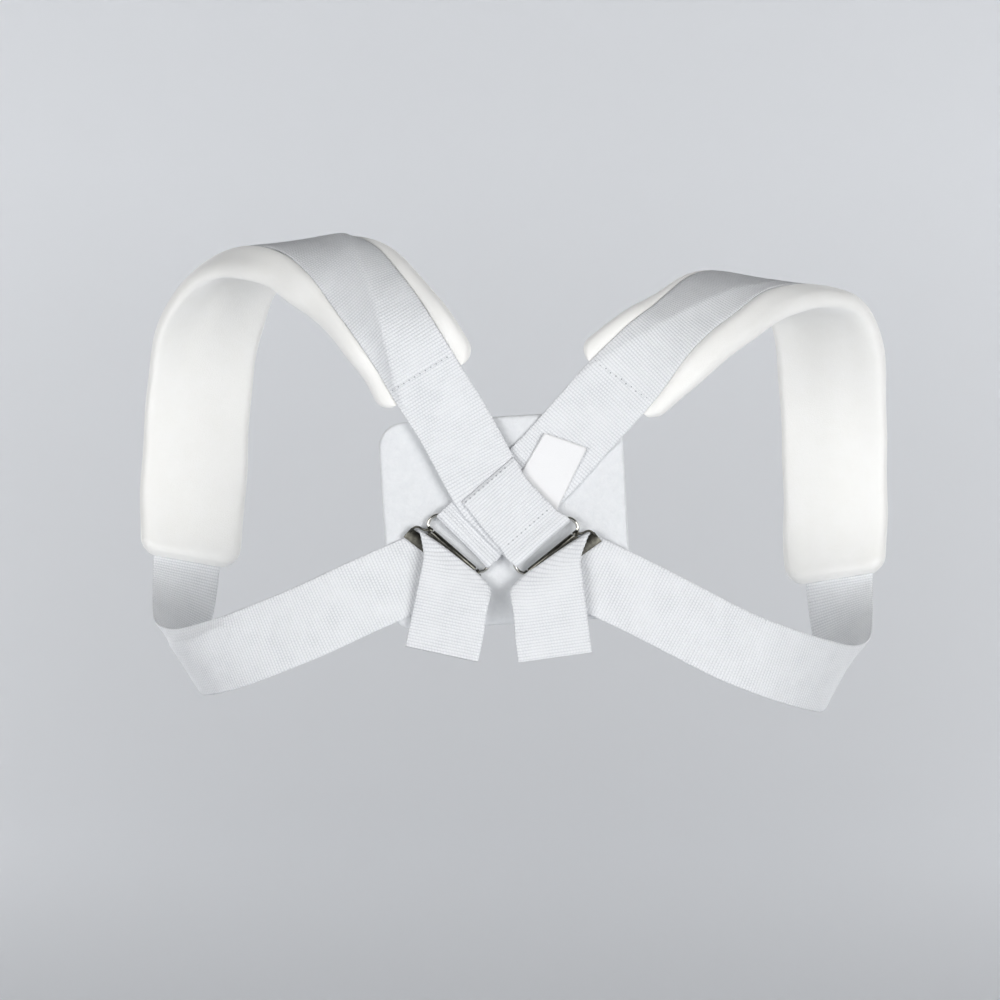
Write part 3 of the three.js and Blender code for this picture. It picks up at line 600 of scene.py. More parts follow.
def finish_piece(made, slot, material, *nodes):
    made.data.materials.clear()
    made.data.materials.append(material)
    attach(made, "root")
    if nodes:
        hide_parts(*nodes)


# Materials

def node_material(name, colour, roughness):
    material = bpy.data.materials.new(name)
    material.use_nodes = True
    shader = material.node_tree.nodes["Principled BSDF"]
    shader.inputs["Base Color"].default_value = (*colour, 1)
    shader.inputs["Roughness"].default_value = roughness
    return material, material.node_tree, shader


def set_sheen(shader, weight, roughness):
    shader.inputs["Sheen Weight"].default_value = weight
    shader.inputs["Sheen Roughness"].default_value = roughness


def add(tree, kind, **values):
    node = tree.nodes.new(kind)
    for key, value in values.items():
        setattr(node, key, value)
    return node


def maths(tree, operation, a, b=None):
    node = add(tree, "ShaderNodeMath", operation=operation)
    for socket, value in zip(node.inputs, (a, b)):
        if value is None:
            continue
        if isinstance(value, (int, float)):
            socket.default_value = value
        else:
            tree.links.new(value, socket)
    return node.outputs[0]


def noise(tree, vector, scale, detail=3.0, roughness=0.55):
    node = add(tree, "ShaderNodeTexNoise")
    node.inputs["Scale"].default_value = scale
    node.inputs["Detail"].default_value = detail
    node.inputs["Roughness"].default_value = roughness
    tree.links.new(vector, node.inputs["Vector"])
    return node.outputs["Fac"]


def tint(tree, factor, low, high, start=0.0, stop=1.0):
    node = add(tree, "ShaderNodeValToRGB")
    node.color_ramp.elements[0].position = start
    node.color_ramp.elements[0].color = (*low, 1)
    node.color_ramp.elements[1].position = stop
    node.color_ramp.elements[1].color = (*high, 1)
    tree.links.new(factor, node.inputs["Fac"])
    return node.outputs["Color"]


def paint(tree, shader, factor, low, high, start=0.3, stop=0.7):
    """Colour a material from low to high by a factor."""
    tree.links.new(tint(tree, factor, low, high, start, stop), shader.inputs["Base Color"])


def bump(tree, shader, height, depth):
    node = add(tree, "ShaderNodeBump")
    node.inputs["Distance"].default_value = depth
    node.inputs["Strength"].default_value = 1.0
    tree.links.new(height, node.inputs["Height"])
    tree.links.new(node.outputs["Normal"], shader.inputs["Normal"])


def plus(tree, first, second, weight):
    """The first value and a weighted second one."""
    return maths(tree, "ADD", first, maths(tree, "MULTIPLY", second, weight))


def rounded_tops(tree, count, power, depth):
    """A row of rounded tops, one to each whole number, with valleys of the given depth."""
    top = maths(tree, "ABSOLUTE", maths(tree, "SINE", maths(tree, "MULTIPLY", count, math.pi)))
    return maths(tree, "ADD", maths(tree, "MULTIPLY", maths(tree, "POWER", top, power), depth), 1 - depth)


def webbing_material():
    """Cotton webbing: crosswise ribs of short cords, each rib set half a cord beside the last; the valleys
    between cords and ribs are painted darker as shade.
    """
    material, tree, shader = node_material("white_webbing", colour=(0.83, 0.84, 0.86), roughness=0.9)
    set_sheen(shader, weight=0.15, roughness=0.5)
    half_cord, cord_slant, weave_share = 0.5, 0.35, 0.6
    place = add(tree, "ShaderNodeAttribute", attribute_name="weave").outputs["Vector"]
    parts = add(tree, "ShaderNodeSeparateXYZ")
    tree.links.new(place, parts.inputs[0])
    rib = maths(tree, "DIVIDE", parts.outputs["Y"], RIB_PITCH)
    cord = maths(tree, "DIVIDE", parts.outputs["X"], CORD_PITCH)
    row = maths(tree, "FLOOR", rib)
    odd = maths(tree, "MODULO", row, 2.0)
    slant = maths(tree, "MULTIPLY", maths(tree, "SUBTRACT", odd, 0.5), cord_slant)
    lean = maths(tree, "MULTIPLY", maths(tree, "SUBTRACT", rib, row), slant)
    shifted = maths(tree, "ADD", plus(tree, cord, odd, half_cord), lean)
    corded = rounded_tops(tree, shifted, power=0.6, depth=0.55)
    ribbed = rounded_tops(tree, rib, power=0.7, depth=0.75)
    raised = maths(tree, "MULTIPLY", corded, ribbed)
    fibre = noise(tree, place, scale=4.0, detail=4.0)
    bump(tree, shader, plus(tree, raised, fibre, weight=0.35), depth=0.00032)
    soil = noise(tree, place, scale=0.06)
    # Painted shade: the weave's valleys are coloured darker, mixed with a slow random soiling
    shade = plus(tree, maths(tree, "MULTIPLY", raised, weave_share), soil, weight=1 - weave_share)
    paint(tree, shader, shade, low=(0.53, 0.55, 0.585), high=(0.88, 0.892, 0.912), start=0.05, stop=0.66)
    return material


def pad_material():
    """Brushed cover cloth over foam, warm white."""
    material, tree, shader = node_material("ivory_pad_cover", colour=(0.9, 0.885, 0.845), roughness=0.95)
    set_sheen(shader, weight=0.7, roughness=0.5)
    place = add(tree, "ShaderNodeTexCoord").outputs["Object"]
    nap = noise(tree, place, scale=1600)
    cloud = noise(tree, place, scale=60)
    bump(tree, shader, plus(tree, nap, cloud, weight=1.2), depth=0.00016)
    paint(tree, shader, cloud, low=(0.95, 0.943, 0.912), high=(0.98, 0.975, 0.952))
    return material


def felt_material():
    """Pressed felt: matted fibres in all directions, a little uneven."""
    material, tree, shader = node_material("white_felt", colour=(0.8, 0.81, 0.83), roughness=1.0)
    set_sheen(shader, weight=0.35, roughness=0.7)
    place = add(tree, "ShaderNodeTexCoord").outputs["Object"]
    mat = noise(tree, place, scale=900, detail=5.0, roughness=0.7)
    clump = noise(tree, place, scale=320, detail=5.0, roughness=0.7)
    bump(tree, shader, plus(tree, mat, clump, weight=1.6), depth=0.00035)
    paint(tree, shader, clump, low=(0.785, 0.803, 0.825), high=(0.862, 0.876, 0.893), start=0.25, stop=0.75)
    return material


def nickel_material(name, low, high, dullness):
    """Nickel plate with brighter and duller patches."""
    material, tree, shader = node_material(name, high, dullness[0])
    shader.inputs["Metallic"].default_value = 1.0
    place = add(tree, "ShaderNodeTexCoord").outputs["Object"]
    patch = noise(tree, place, scale=420, detail=4.0)
    rough = add(tree, "ShaderNodeMapRange")
    rough.inputs["To Min"].default_value = dullness[0]
    rough.inputs["To Max"].default_value = dullness[1]
    tree.links.new(patch, rough.inputs["Value"])
    tree.links.new(rough.outputs[0], shader.inputs["Roughness"])
    paint(tree, shader, patch, low, high)
    bump(tree, shader, patch, depth=0.000006)
    return material


def thread_material():
    """Twisted white sewing thread."""
    material, tree, shader = node_material("white_thread", colour=(0.8, 0.81, 0.83), roughness=0.7)
    place = add(tree, "ShaderNodeTexCoord").outputs["Object"]
    twist = noise(tree, place, scale=2500, detail=2.0)
    bump(tree, shader, twist, depth=0.0001)
    paint(tree, shader, twist, low=(0.66, 0.67, 0.69), high=(0.86, 0.865, 0.88))
    return material


def hole_shade_material():
    """Shade inside a needle hole."""
    material, _, _ = node_material("needle_hole_shade", colour=(0.42, 0.43, 0.46), roughness=1.0)
    return material


def satin_material():
    """Satin tape: long floats along its length, a soft gloss."""
    material, tree, shader = node_material("white_satin", colour=(0.9, 0.9, 0.905), roughness=0.42)
    shader.inputs["Sheen Weight"].default_value = 0.1
    place = add(tree, "ShaderNodeAttribute", attribute_name="weave")
    stretch = add(tree, "ShaderNodeMapping")
    stretch.inputs["Scale"].default_value = (7.0, 0.8, 1.0)
    tree.links.new(place.outputs["Vector"], stretch.inputs["Vector"])
    floats = noise(tree, stretch.outputs["Vector"], scale=2.0, detail=2.0)
    bump(tree, shader, floats, depth=0.00008)
    paint(tree, shader, floats, low=(0.86, 0.86, 0.87), high=(0.93, 0.93, 0.935))
    return material


# Straps

def crease(strap, outer_side):
    """Column shares that keep one column on the lengthwise crease, and the height of its two flanks."""
    top = strap["ridge_at"][:, None]
    share = np.where(SHARES < 0, -1 + (SHARES + 1) * (1 + top), 1 - (1 - SHARES) * (1 - top))
    fall = 1 - np.abs(SHARES)
    fall = np.where(SHARES * outer_side > 0, fall ** CREASE_STEEPNESS, fall)
    return share, CREASE_GAIN * strap["ridge"][:, None] * fall


def folded_end(strap, side, along, across):
    """The strap's last stretch: flat up to the clamp, round its bar, and back down as the tail."""
    fold = fold_directions(side)
    if np.dot(strap["across"][-1], fold["lower"]) < 0:
        across = -across
    share = across / (WEBBING_WIDTH / 2)
    past = along - strap["fold"]
    towards = past * np.dot(fold["travel"], fold["ahead"]) + across * np.dot(fold["lower"], fold["ahead"])
    beside = past * np.dot(fold["travel"], fold["along"]) + across * np.dot(fold["lower"], fold["along"])
    slide = np.dot(strap["middle"][-1] - fold["middle"], fold["along"])
    beside = beside + slide * (1 - rise(towards, SLIDE_FROM, SLIDE_LENGTH - SLIDE_SKEW * share))
    half_turn = math.pi * FOLD_RADIUS
    turn = np.clip(towards / FOLD_RADIUS, 0, math.pi)
    hang = np.maximum(towards - half_turn, 0)
    loose = rise(towards, LOOSE_FROM, half_turn)
    near = hump(towards, half_turn / 2, FOLD_SPREAD)
    raised = FOLD_LIFT * rise(beside, *LIFT_BESIDE) * loose * np.exp(-hang / LIFT_FADE)
    belly = TAIL_BELLY * (hang / BELLY_AT) * np.exp(1 - hang / BELLY_AT)
    lift = -FOLD_RADIUS * np.cos(turn) + raised + belly - TAIL_FALL * hang / FALL_LENGTH
    lower = LOWER_CORNER["pull"] * near * rise(share, *LOWER_CORNER["shares"])
    upper = UPPER_CORNER["pull"] * near * rise(-share, *UPPER_CORNER["shares"])
    nip = TAIL_NIP["pull"] * rise(share, *TAIL_NIP["shares"]) * hump(hang, TAIL_NIP["at"], TAIL_NIP["spread"])
    ahead = np.where(towards < 0, towards, FOLD_RADIUS * np.sin(turn) - hang)
    ahead = ahead + FOLD_BULGE * (1 - share ** 2) * near - lower
    beside = beside - upper - nip * loose
    swing = math.radians(FOLDS[side]["swing"]) * rise(towards, *SWING_BEGINS)
    beside, ahead = (beside * np.cos(swing) - ahead * np.sin(swing),
                     beside * np.sin(swing) + ahead * np.cos(swing))
    place = (fold["middle"] + beside[..., None] * fold["along"] + ahead[..., None] * fold["ahead"]
             + lift[..., None] * OUTWARD)
    return place, rise(towards, *END_BEGINS)


def edge_insets(strap, side):
    """How far the strap's outer and inner edges lie inside its plain width, all along it."""
    gathered, beyond, last = FLAP_INSETS[side]
    tuck = TUCKS[side]
    back = sum(strap["ring"]) / 2 - strap["along"]
    away = np.abs(back)
    near = gathered * hump(back, 0, INSET_SPREAD)
    flap = beyond + (last - beyond) * rise(back, *INSET_LAST)
    shoulder = tuck["shoulder"] * hump(strap["along"], distance_at(strap, tuck["at"]), SHOULDER_SPREAD)
    outer = near + (flap - near) * rise(back, *INSET_BEYOND) + shoulder
    inner = tuck["flap"] * rise(away, *TUCK_BEGINS) * (1 - rise(away, *TUCK_ENDS))
    return outer, inner


def strap_surface(strap, clamp_side, outer_side):
    """Middle surface of a strap and its outward directions, one row to each half rib."""
    along = strap["along"][:, None]
    share, height = crease(strap, outer_side)
    outer, inner = edge_insets(strap, clamp_side)
    strap["insets"] = np.stack((outer, inner) if outer_side < 0 else (inner, outer), axis=1)
    width = strap["half"][:, None] * share
    width = width + strap["insets"][:, :1] * (1 - share) / 2 - strap["insets"][:, 1:] * (1 + share) / 2
    first, second = (along / length for length in WANDER_LENGTHS)
    height = height + WANDER * np.sin(first) * np.sin(WANDER_TURN * share + second)
    surface = (strap["middle"][:, None, :] + strap["across"][:, None, :] * width[..., None]
               + strap["outer"][:, None, :] * height[..., None])
    ending, blend = folded_end(strap, clamp_side, along, share * WEBBING_WIDTH / 2)
    surface = surface + (ending - surface) * blend[..., None]
    outward = unit(np.cross(np.gradient(surface, axis=1), np.gradient(surface, axis=0)))
    return surface, outward, share


def make_strap(name, strap, clamp_side, outer_side, seams, material, node):
    """Webbing with real ribs and scalloped selvedges, closed at both cut ends."""
    surface, outward, share = strap_surface(strap, clamp_side, outer_side)
    strap["surface"], strap["outward"], strap["share"] = surface, outward, share
    along = strap["along"]
    from_middle = np.abs(SHARES)
    over_edge = np.clip((from_middle - (1 - EDGE_ROUND)) / EDGE_ROUND, 0, 1)
    edge = np.sqrt(np.clip(1 - over_edge ** 2, EDGE_LEAST, 1))
    rib = np.where(np.arange(len(along)) % 2 == 0, 1.0, -1.0)[:, None]
    thick = edge * (WEBBING_THICKNESS / 2 + RIB_HEIGHT * rib)
    sunk = sum(hump(along, seam, SEAM_SPREAD) for seam in seams)
    sunk = SEAM_DEPTH * sunk[:, None] * (from_middle < SEAM_TO)
    on_flap = (along < strap["ring"][0])[:, None]
    cut = np.clip(along / CUT_TAPER, CUT_LEAST, 1)[:, None]
    surface = surface + outward * ((1 - cut) * (WEBBING_THICKNESS / 2 + GAP))[..., None]
    scallop = SCALLOP * rib * np.sign(SHARES) * (from_middle > SCALLOP_FROM)
    surface = surface + unit(np.gradient(surface, axis=1)) * scallop[..., None]
    upper = surface + outward * (thick * cut - sunk * ~on_flap)[..., None]
    under = surface - outward * (thick * cut - sunk * on_flap)[..., None]
    made, row, place = tube_of_rings(name, np.concatenate((upper, under[:, ::-1]), axis=1))
    shares = np.concatenate((share, share[:, ::-1]), axis=1)
    across = shares[row, place] * WEBBING_WIDTH / 2
    note(made, "weave", np.stack((across, along[row], place < len(SHARES)), axis=1))
    point_out(made)
    finish_piece(made, "webbing", material, node)


# Shoulder pads

def pad_section(thickness, reaches, droops, halves):
    """Closed outline: pressed flat under the webbing, swollen beside it, round-nosed, drooping outwards."""
    top = -(WEBBING_THICKNESS / 2 + PAD_GAP)
    radius = thickness / 2
    swell = PAD_SWELL * thickness / PAD_THICKNESS
    pressed = [(share * halves[int(share > 0)], top) for share in PAD_PRESSED]
    bottom = [(share * halves[int(share > 0)], top - thickness) for share in PAD_BOTTOM]
    sides = []
    for sign, reach, droop, half in zip((-1, 1), reaches, droops, halves):
        centre = max(reach - radius, half + NOSE_CLEAR)
        points = [(half + beside, top + share * swell) for beside, share in PAD_RISE]
        for i in range(NOSE_STEPS + 1):
            turn = math.pi / 2 - math.pi * i / NOSE_STEPS
            height = top - radius + radius * math.sin(turn) + swell * max(0, math.sin(turn))
            points.append((centre + radius * math.cos(turn), height))
        span = reach - half + DROOP_CLEAR
        points = [(x, y - droop * rise(x, half, span) ** DROOP_POWER) for x, y in points if x > half]
        sides.append([(sign * x, y) for x, y in kept_apart(points)])
    points = np.array(pressed + sides[1] + bottom + sides[0][::-1])
    loop = np.vstack((points[-2:], points, points[:2]))
    knots = distances_along(loop)
    spots = np.linspace(knots[2], knots[-2], PAD_AROUND + 1)[:-1]
    return curve_through(knots, loop, spots)


def kept_apart(points):
    """An outline's points without those that lie too close to the last one."""
    kept = points[:1]
    for point in points[1:]:
        if math.dist(point, kept[-1]) > PAD_POINTS_APART:
            kept.append(point)
    return kept


def pad_reach(pad, toward):
    """A pad's two reaches and two droops at a share of its length."""
    rows = np.array(pad["reach"])
    k = min(max(int(np.searchsorted(rows[:, 0], toward)), 1), len(rows) - 1)
    before, after = rows[k - 1], rows[k]
    here = before + (after - before) * rise(toward, before[0], after[0] - before[0])
    return here[1:3], here[3:5]


def make_pad(name, strap, pad, material, node):
    """Soft pad under the webbing: sections along it that narrow and thin out at both ends."""
    start, stop = distance_at(strap, pad["start"]), distance_at(strap, pad["stop"])
    length = stop - start
    ends = np.array(PAD_END_PLACES)
    inner = np.arange(ends[-1] + PAD_STEP, length - PAD_END_CLEAR, PAD_STEP)
    rings = []
    for along in np.concatenate((ends, inner, length - ends[::-1])):
        i = min(int(np.searchsorted(strap["along"], start + along)), len(strap["along"]) - 1)
        from_end = min(along, length - along)
        rest = max(PAD_CORNER - from_end, 0)
        pull = PAD_CORNER - math.sqrt(PAD_CORNER ** 2 - rest ** 2)
        soft = max(PAD_END_ROUND - from_end, 0) / PAD_END_ROUND
        full = PAD_END_THIN + (1 - PAD_END_THIN) * math.sqrt(max(1 - soft ** 2, 0))
        wave = [sum(high * math.sin(along / span + turn * side) for high, span, turn in PAD_WAVES)
                for side in (1, 2)]
        reaches, droops = pad_reach(pad, along / length)
        halves = strap["half"][i] - strap["insets"][i]
        flat = pad_section(PAD_THICKNESS * full, reaches - pull + wave, droops, halves)
        sideways = np.outer(flat[:, 0], strap["across"][i])
        rings.append(strap["middle"][i] + sideways + np.outer(flat[:, 1], strap["outer"][i]))
    made, _, _ = tube_of_rings(name, rings)
    point_out(made)
    rounding = made.modifiers.new("rounding", "SUBSURF")
    rounding.levels = rounding.render_levels = 1
    bpy.ops.object.modifier_apply(modifier=rounding.name)
    finish_piece(made, "pad", material, node)


# Felt back pad

def felt_unevenness(points):
    """Raise and lower the felt's outer face a little, bow its sides and turn it in its plane."""
    x, z = points[:, 0] / MM, points[:, 2] / MM
    (wide, high), (wide_start, high_start) = FELT_CLOUD_LENGTHS, FELT_CLOUD_STARTS
    cloud = FELT_CLOUD * np.sin(x / wide + wide_start) * np.sin(z / high + high_start)
    ripple = FELT_RIPPLE * np.sin(x / FELT_RIPPLE_LENGTHS[0] + z / FELT_RIPPLE_LENGTHS[1])
    outer_face = points[:, 1] < -BACK_PAD_SIZE[1] * MM / 2
    level = points[:, 1] - np.where(outer_face, (cloud + ripple) * MM, 0)
    bowed = points[:, 0] * (1 + FELT_BOW * np.sin(z / FELT_BOW_LENGTH + FELT_BOW_START))
    cos, sin = math.cos(BACK_PAD_TURN), math.sin(BACK_PAD_TURN)
    return np.stack((bowed * cos - points[:, 2] * sin, level, bowed * sin + points[:, 2] * cos), axis=1)


def make_back_pad(material):
    """Felt block with rounded corners and edges, evenly remeshed."""
    width, thickness, height = (size * MM for size in BACK_PAD_SIZE)
    deselect()
    bpy.ops.mesh.primitive_cube_add(size=1, location=(0, -thickness / 2, 0))
    made = named("felt_back_pad")
    made.scale = (width, thickness, height)
    bpy.ops.object.transform_apply(location=True, rotation=True, scale=True)
    select_edges(made, lambda a, b: abs(a.y - b.y) > thickness / 2)
    bpy.ops.mesh.bevel(offset=BACK_PAD_CORNER * MM, segments=8)
    select_edges(made, lambda a, b: abs(a.y - b.y) < thickness / 10)
    bpy.ops.mesh.bevel(offset=BACK_PAD_EDGE * MM, segments=4)
    bpy.ops.object.mode_set(mode="OBJECT")
    grain = made.modifiers.new("even_grain", "REMESH")
    grain.mode = "VOXEL"
    grain.voxel_size = BACK_PAD_GRAIN * MM
    bpy.ops.object.modifier_apply(modifier=grain.name)
    set_points(made, felt_unevenness(points_of(made)))
    point_out(made)
    finish_piece(made, "felt", material, "back_pad")


# Buckles

def buckle_matrix(side):
    """From the buckle's flat plan (x along the bars, y out, z off the back) to its place."""
    along, out, hinge = buckle_directions(side)
    turn = Matrix((along, out, OUTWARD)).transposed().to_4x4()
    return Matrix.Translation(Vector(hinge * MM)) @ turn


def seat(made, side):
    made.data.transform(buckle_matrix(side))
    if np.dot(np.cross(*buckle_directions(side)[:2]), OUTWARD) < 0:
        made.data.flip_normals()
    made.data.update()


def make_ring(side, material):
    """Wire bent round four corners, its ends butted in one bar."""
    straight = RING_INSIDE / 2 + WIRE / 2 - RING_CORNER
    short = RING_BAR_SPACING - 2 * RING_CORNER
    near, far = -RING_CORNER, RING_CORNER - RING_BAR_SPACING
    legs = (((2 * straight, 0), (straight, near)), ((0, -short), (straight, far)),
            ((-2 * straight, 0), (-straight, far)), ((0, short), (-straight, near)))
    deselect()
    bpy.ops.mesh.primitive_circle_add(vertices=WIRE_SIDES, radius=WIRE / 2 * MM,
                                      location=(-straight * MM, 0, 0), rotation=(0, math.pi / 2, 0))
    made = named(f"{side}_wire_ring")
    bpy.ops.object.transform_apply(location=True, rotation=True, scale=True)
    bpy.ops.object.mode_set(mode="EDIT")
    bpy.ops.mesh.select_all(action="SELECT")
    for (x, y), (centre_x, centre_y) in legs:
        bpy.ops.mesh.extrude_region_move(TRANSFORM_OT_translate={"value": (x * MM, y * MM, 0)})
        bpy.ops.mesh.spin(steps=CORNER_STEPS, angle=math.pi / 2, center=(centre_x * MM, centre_y * MM, 0),
                          axis=(0, 0, 1))
    bpy.ops.mesh.select_all(action="SELECT")
    bpy.ops.mesh.remove_doubles(threshold=WELD * MM)
    bpy.ops.object.mode_set(mode="OBJECT")
    made.data.transform(Matrix.Translation((RING_SHIFT * MM, 0, 0)))
    seat(made, side)
    point_out(made)
    finish_piece(made, "steel", material, f"{side}_buckle_ring")


def plate(corners, thickness, soften, level=0.0):
    """A flat four-cornered plate in the buckle's plan, with rolled edges."""
    deselect()
    bpy.ops.mesh.primitive_cube_add(size=1)
    made = bpy.context.object
    for vertex in made.data.vertices:
        right, far = vertex.co.x > 0, vertex.co.y > 0
        corner = corners[(2 if far else 3) if right else (1 if far else 0)]
        height = level + math.copysign(thickness / 2, vertex.co.z)
        vertex.co = (corner[0] * MM, corner[1] * MM, height * MM)
    bpy.ops.object.mode_set(mode="EDIT")
    bpy.ops.mesh.select_all(action="SELECT")
    bpy.ops.mesh.bevel(offset=soften * MM, segments=3)
    bpy.ops.object.mode_set(mode="OBJECT")
    return made


def bent_wire(points, radius):
    """A round wire through a few points."""
    curve = bpy.data.curves.new("bent_wire", "CURVE")
    curve.dimensions = "3D"
    curve.bevel_depth = radius * MM
    curve.bevel_resolution = 4
    curve.use_fill_caps = True
    spline = curve.splines.new("NURBS")
    spline.points.add(len(points) - 1)
    for point, place in zip(spline.points, points):
        point.co = (place[0] * MM, place[1] * MM, place[2] * MM, 1)
    spline.use_endpoint_u = True
    spline.order_u = 3
    spline.resolution_u = 8
    made = bpy.data.objects.new("bent_wire", curve)
    bpy.context.collection.objects.link(made)
    select(made)
    bpy.ops.object.convert(target="MESH")
    return bpy.context.object


def knuckle(start, stop):
    """Plate edge curled round the hinge wire: an open barrel with a wall."""
    bore = WIRE / 2 + HINGE_CLEARANCE
    deselect()
    bpy.ops.mesh.primitive_cylinder_add(vertices=KNUCKLE_SIDES, radius=(bore + KNUCKLE_WALL) * MM,
                                        depth=(stop - start) * MM, rotation=(0, math.pi / 2, 0),
                                        end_fill_type="NOTHING")
    made = bpy.context.object
    bpy.ops.object.transform_apply(location=True, rotation=True, scale=True)
    wall = made.modifiers.new("wall", "SOLIDIFY")
    wall.thickness = KNUCKLE_WALL * MM
    wall.offset = -1
    bpy.ops.object.modifier_apply(modifier=wall.name)
    rim = made.modifiers.new("rim", "BEVEL")
    rim.width = KNUCKLE_RIM * MM
    rim.segments = 2
    rim.limit_method = "ANGLE"
    rim.angle_limit = math.radians(40)
    bpy.ops.object.modifier_apply(modifier=rim.name)
    made.data.transform(Matrix.Translation(((start + stop) / 2 * MM, 0, 0)))
    return made


def make_clamp(side, material):
    """Clamp: a flat plate that the strap turns round, and two arms that curl round the hinge wire."""
    parts = [plate(CLAMP_PLATE, CLAMP_THICKNESS, CLAMP_EDGE)]
    parts += [plate(HINGE_LEAF, LEAF_THICKNESS, LEAF_EDGE, LEAF_LEVEL)]
    parts += [knuckle(*ends) for ends in KNUCKLES]
    parts += [bent_wire(arm, ARM_WIRE / 2) for arm in (UPPER_ARM, LOWER_ARM)]
    select(*parts)
    bpy.ops.object.join()
    made = named(f"{side}_clamp")
    seat(made, side)
    select(made)
    bpy.ops.object.shade_smooth_by_angle(angle=math.radians(35))
    finish_piece(made, "steel", material, f"{side}_buckle_frame")


# Tag

def make_label(material):
    """Blank satin tag: a grid drawn to its corners, tucked at one side and a little curled."""
    deselect()
    bpy.ops.mesh.primitive_grid_add(x_subdivisions=LABEL_GRID[0], y_subdivisions=LABEL_GRID[1], size=2)
    made = named("blank_tag")
    s, t, _ = (points_of(made).T + 1) / 2
    shares = ((1 - s) * (1 - t), s * (1 - t), s * t, (1 - s) * t)
    flat = sum(np.outer(share, corner) for share, corner in zip(shares, LABEL_CORNERS))
    base = FIRST_LAYER - WEBBING_THICKNESS / 2 - LABEL_LIFT
    curl = LABEL_CURL * rise(t, *CURL_BEGINS) ** 2 + LABEL_LIP * rise(s, *LIP_BEGINS) * ease(t)
    ripple = LABEL_RIPPLE * np.sin(LABEL_RIPPLE_TURN * s + LABEL_RIPPLE_START) * ease(t)
    set_points(made, np.stack((flat[:, 0], base - curl - ripple, flat[:, 1]), axis=1) * MM)
    note(made, "weave", np.stack((s * LABEL_CUT[0], t * LABEL_CUT[1], np.zeros_like(s)), axis=1))
    body = made.modifiers.new("cloth", "SOLIDIFY")
    body.thickness = LABEL_THICKNESS * MM
    body.offset = 0
    bpy.ops.object.modifier_apply(modifier=body.name)
    point_out(made)
    finish_piece(made, "label", material, "label")


# Stitches

def stitch_row(name, strap, along, shares, lean, thread_cloth, hole_shade_cloth):
    """Sewn row across the webbing: sunk threads that dive into needle holes, each hole a small grey body of
    painted shade.
    """
    half = WEBBING_WIDTH / 2
    count = int((shares[1] - shares[0]) * half / STITCH_PITCH)
    side = -1 if along < strap["ring"][0] else 1
    threads, holes = [], []
    for k in range(2 * count + 1):
        share = shares[0] + k * STITCH_PITCH / 2 / half
        row = int(np.clip(round((along + lean * share * half) / RIB_STEP), 1, len(strap["along"]) - 2))
        here = strap["share"][row]
        column = int(np.clip(np.searchsorted(here, share), 1, len(here) - 1))
        part = (share - here[column - 1]) / (here[column] - here[column - 1])
        before, after = strap["surface"][row, column - 1], strap["surface"][row, column]
        outer = strap["outward"][row, column] * side
        line = unit(after - before)
        centre = before + (after - before) * part + outer * (WEBBING_THICKNESS / 2 - SEAM_DEPTH * STITCH_RISE)
        turn = Matrix((line, np.cross(outer, line), outer)).transposed().to_4x4()
        (threads if k % 2 else holes).append(Matrix.Translation(Vector(centre * MM)) @ turn)
    finish_piece(spread(f"{name}_thread", threads, THREAD_RADII), "webbing", thread_cloth)
    finish_piece(spread(f"{name}_holes", holes, HOLE_SHADE_RADII), "webbing", hole_shade_cloth)


def spread(name, places, radii):
    """Small rounded bodies set at the given places and joined."""
    deselect()
    bpy.ops.mesh.primitive_uv_sphere_add(segments=8, ring_count=6, radius=1)
    first = bpy.context.object
    first.data.transform(Matrix.Diagonal((*(r * MM for r in radii), 1)))
    copies = []
    for place in places:
        copy = first.copy()
        copy.data = first.data.copy()
        copy.data.transform(place)
        bpy.context.collection.objects.link(copy)
        copies.append(copy)
    bpy.data.objects.remove(first)
    select(*copies)
    bpy.ops.object.join()
    made = named(name)
    point_out(made)
    return made


# Stage, light and camera

def make_stage():
    """Pale floor that sweeps up into a wall behind."""
    deselect()
    bpy.ops.mesh.primitive_plane_add(size=2)
    sweep = named("pale_sweep")
    sweep.scale = (*STAGE_HALF, 1)
    sweep.location = (0, STAGE_MIDDLE, FLOOR)
    bpy.ops.object.transform_apply(location=True, rotation=True, scale=True)
    back = STAGE_MIDDLE + STAGE_HALF[1]
    select_edges(sweep, lambda a, b: min(a.y, b.y) > STAGE_MIDDLE)
    bpy.ops.mesh.spin(steps=16, angle=math.pi / 2, center=(0, back, FLOOR + SWEEP_RADIUS), axis=(-1, 0, 0))
    bpy.ops.mesh.extrude_region_move(TRANSFORM_OT_translate={"value": (0, 0, WALL_HEIGHT)})
    bpy.ops.object.mode_set(mode="OBJECT")
    bpy.ops.object.shade_smooth()
    material, _, _ = node_material("pale_floor", colour=(0.73, 0.745, 0.77), roughness=0.9)
    sweep.data.materials.append(material)


def area_light(name, place, target, size, power):
    light = bpy.data.lights.new(name, "AREA")
    light.shape = "RECTANGLE"
    light.size, light.size_y = size
    light.energy = power
    lamp = bpy.data.objects.new(name, light)
    lamp.location = place
    lamp.visible_camera = False
    lamp.rotation_euler = (Vector(target) - Vector(place)).to_track_quat("-Z", "Y").to_euler()
    bpy.context.collection.objects.link(lamp)


def make_lights():
    """A dim room that is dark towards the camera, and the lights of the table."""
    world = bpy.data.worlds.new("soft_room")
    bpy.context.scene.world = world
    world.use_nodes = True
    tree = world.node_tree
    background = tree.nodes["Background"]
    background.inputs["Strength"].default_value = ROOM_STRENGTH
    way = add(tree, "ShaderNodeSeparateXYZ")
    tree.links.new(add(tree, "ShaderNodeTexCoord").outputs["Generated"], way.inputs[0])
    ramp = add(tree, "ShaderNodeMapRange")
    ramp.inputs["From Min"].default_value, ramp.inputs["From Max"].default_value = ROOM_PALE_BETWEEN
    tree.links.new(way.outputs["Y"], ramp.inputs["Value"])
    tree.links.new(tint(tree, ramp.outputs[0], ROOM_DARK, ROOM_PALE), background.inputs["Color"])
    for light in LIGHTS:
        area_light(*light)


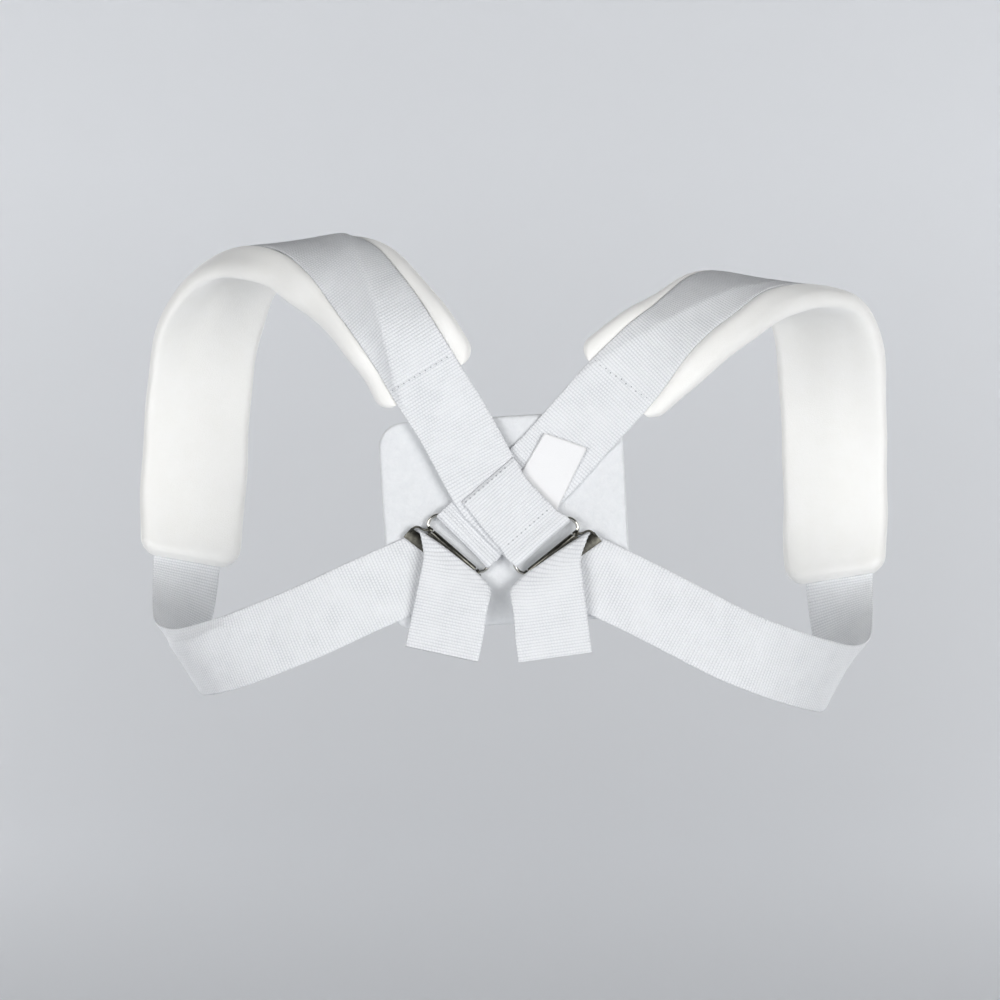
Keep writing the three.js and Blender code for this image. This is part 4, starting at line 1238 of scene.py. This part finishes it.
def make_camera():
    camera = bpy.data.cameras.new("camera")
    camera.sensor_width = SENSOR
    metres_per_pixel = MM_PER_PIXEL * MM
    camera.lens = SENSOR * CAMERA_DISTANCE / (IMAGE * metres_per_pixel)
    eye = bpy.data.objects.new("camera", camera)
    aim = Vector((IMAGE / 2 - PAD_PIXEL[0], 0, PAD_PIXEL[1] - IMAGE / 2)) * metres_per_pixel
    back = Vector((0, -math.cos(CAMERA_RISE), math.sin(CAMERA_RISE)))
    eye.location = aim + back * CAMERA_DISTANCE
    eye.rotation_euler = (-back).to_track_quat("-Z", "Y").to_euler()
    bpy.context.collection.objects.link(eye)
    bpy.context.scene.camera = eye
    bpy.context.scene.view_settings.view_transform = "Standard"


make_camera()
make_lights()
make_stage()

webbing = webbing_material()
pad_cover = pad_material()
bright_nickel = nickel_material("bright_nickel", low=(0.5, 0.485, 0.43), high=(0.7, 0.69, 0.66),
                                dullness=(0.07, 0.17))
# Painted shade: the clamp's nickel is coloured near black, standing in for the dark room that its plate
# reflects
shaded_nickel = nickel_material("shaded_nickel", low=(0.05, 0.048, 0.041), high=(0.14, 0.136, 0.116),
                              dullness=(0.2, 0.3))
thread = thread_material()
needle_hole_shade = hole_shade_material()

left_strap = fine_strap(strap_stations(LEFT_COURSE, "right", "left", LEFT_FLAP), FOLDS["left"]["tail"])
right_strap = fine_strap(strap_stations(RIGHT_COURSE, "left", "right", RIGHT_FLAP), FOLDS["right"]["tail"])
left_seams = (LEFT_SEAMS["flap_end"], left_strap["ring"][0] - LEFT_SEAMS["ring"],
              distance_at(left_strap, LEFT_SEAMS["pad"]))
right_seams = (RIGHT_SEAMS["flap_end"], distance_at(right_strap, RIGHT_SEAMS["pad"]))
make_strap("left_webbing", left_strap, "left", -1, left_seams, webbing, "left_webbing_strap")
make_strap("right_webbing", right_strap, "right", 1, right_seams, webbing, "right_webbing_strap")
make_pad("left_soft_pad", left_strap, LEFT_PAD, pad_cover, "left_shoulder_pad")
make_pad("right_soft_pad", right_strap, RIGHT_PAD, pad_cover, "right_shoulder_pad")
make_back_pad(felt_material())
for buckle_side in BUCKLES:
    make_ring(buckle_side, bright_nickel)
    make_clamp(buckle_side, shaded_nickel)
make_label(satin_material())

# Stitch rows: name, strap, place along it, the shares of the half width that it spans, and its lean
stitch_rows = (
    ("left_flap_end", left_strap, left_seams[0], (-0.9, 0.62), 0.0),
    ("left_ring", left_strap, left_seams[1], (-0.72, 0.8), 0.0),
    ("left_pad", left_strap, left_seams[2], (-0.88, 0.94), 0.0),
    ("right_flap_end", right_strap, right_seams[0], (-0.9, 0.9), 0.0),
    ("right_pad", right_strap, right_seams[1], (-0.9, 0.9), 0.15),
)
for row_name, *row in stitch_rows:
    stitch_row(f"{row_name}_stitches", *row, thread, needle_hole_shade)
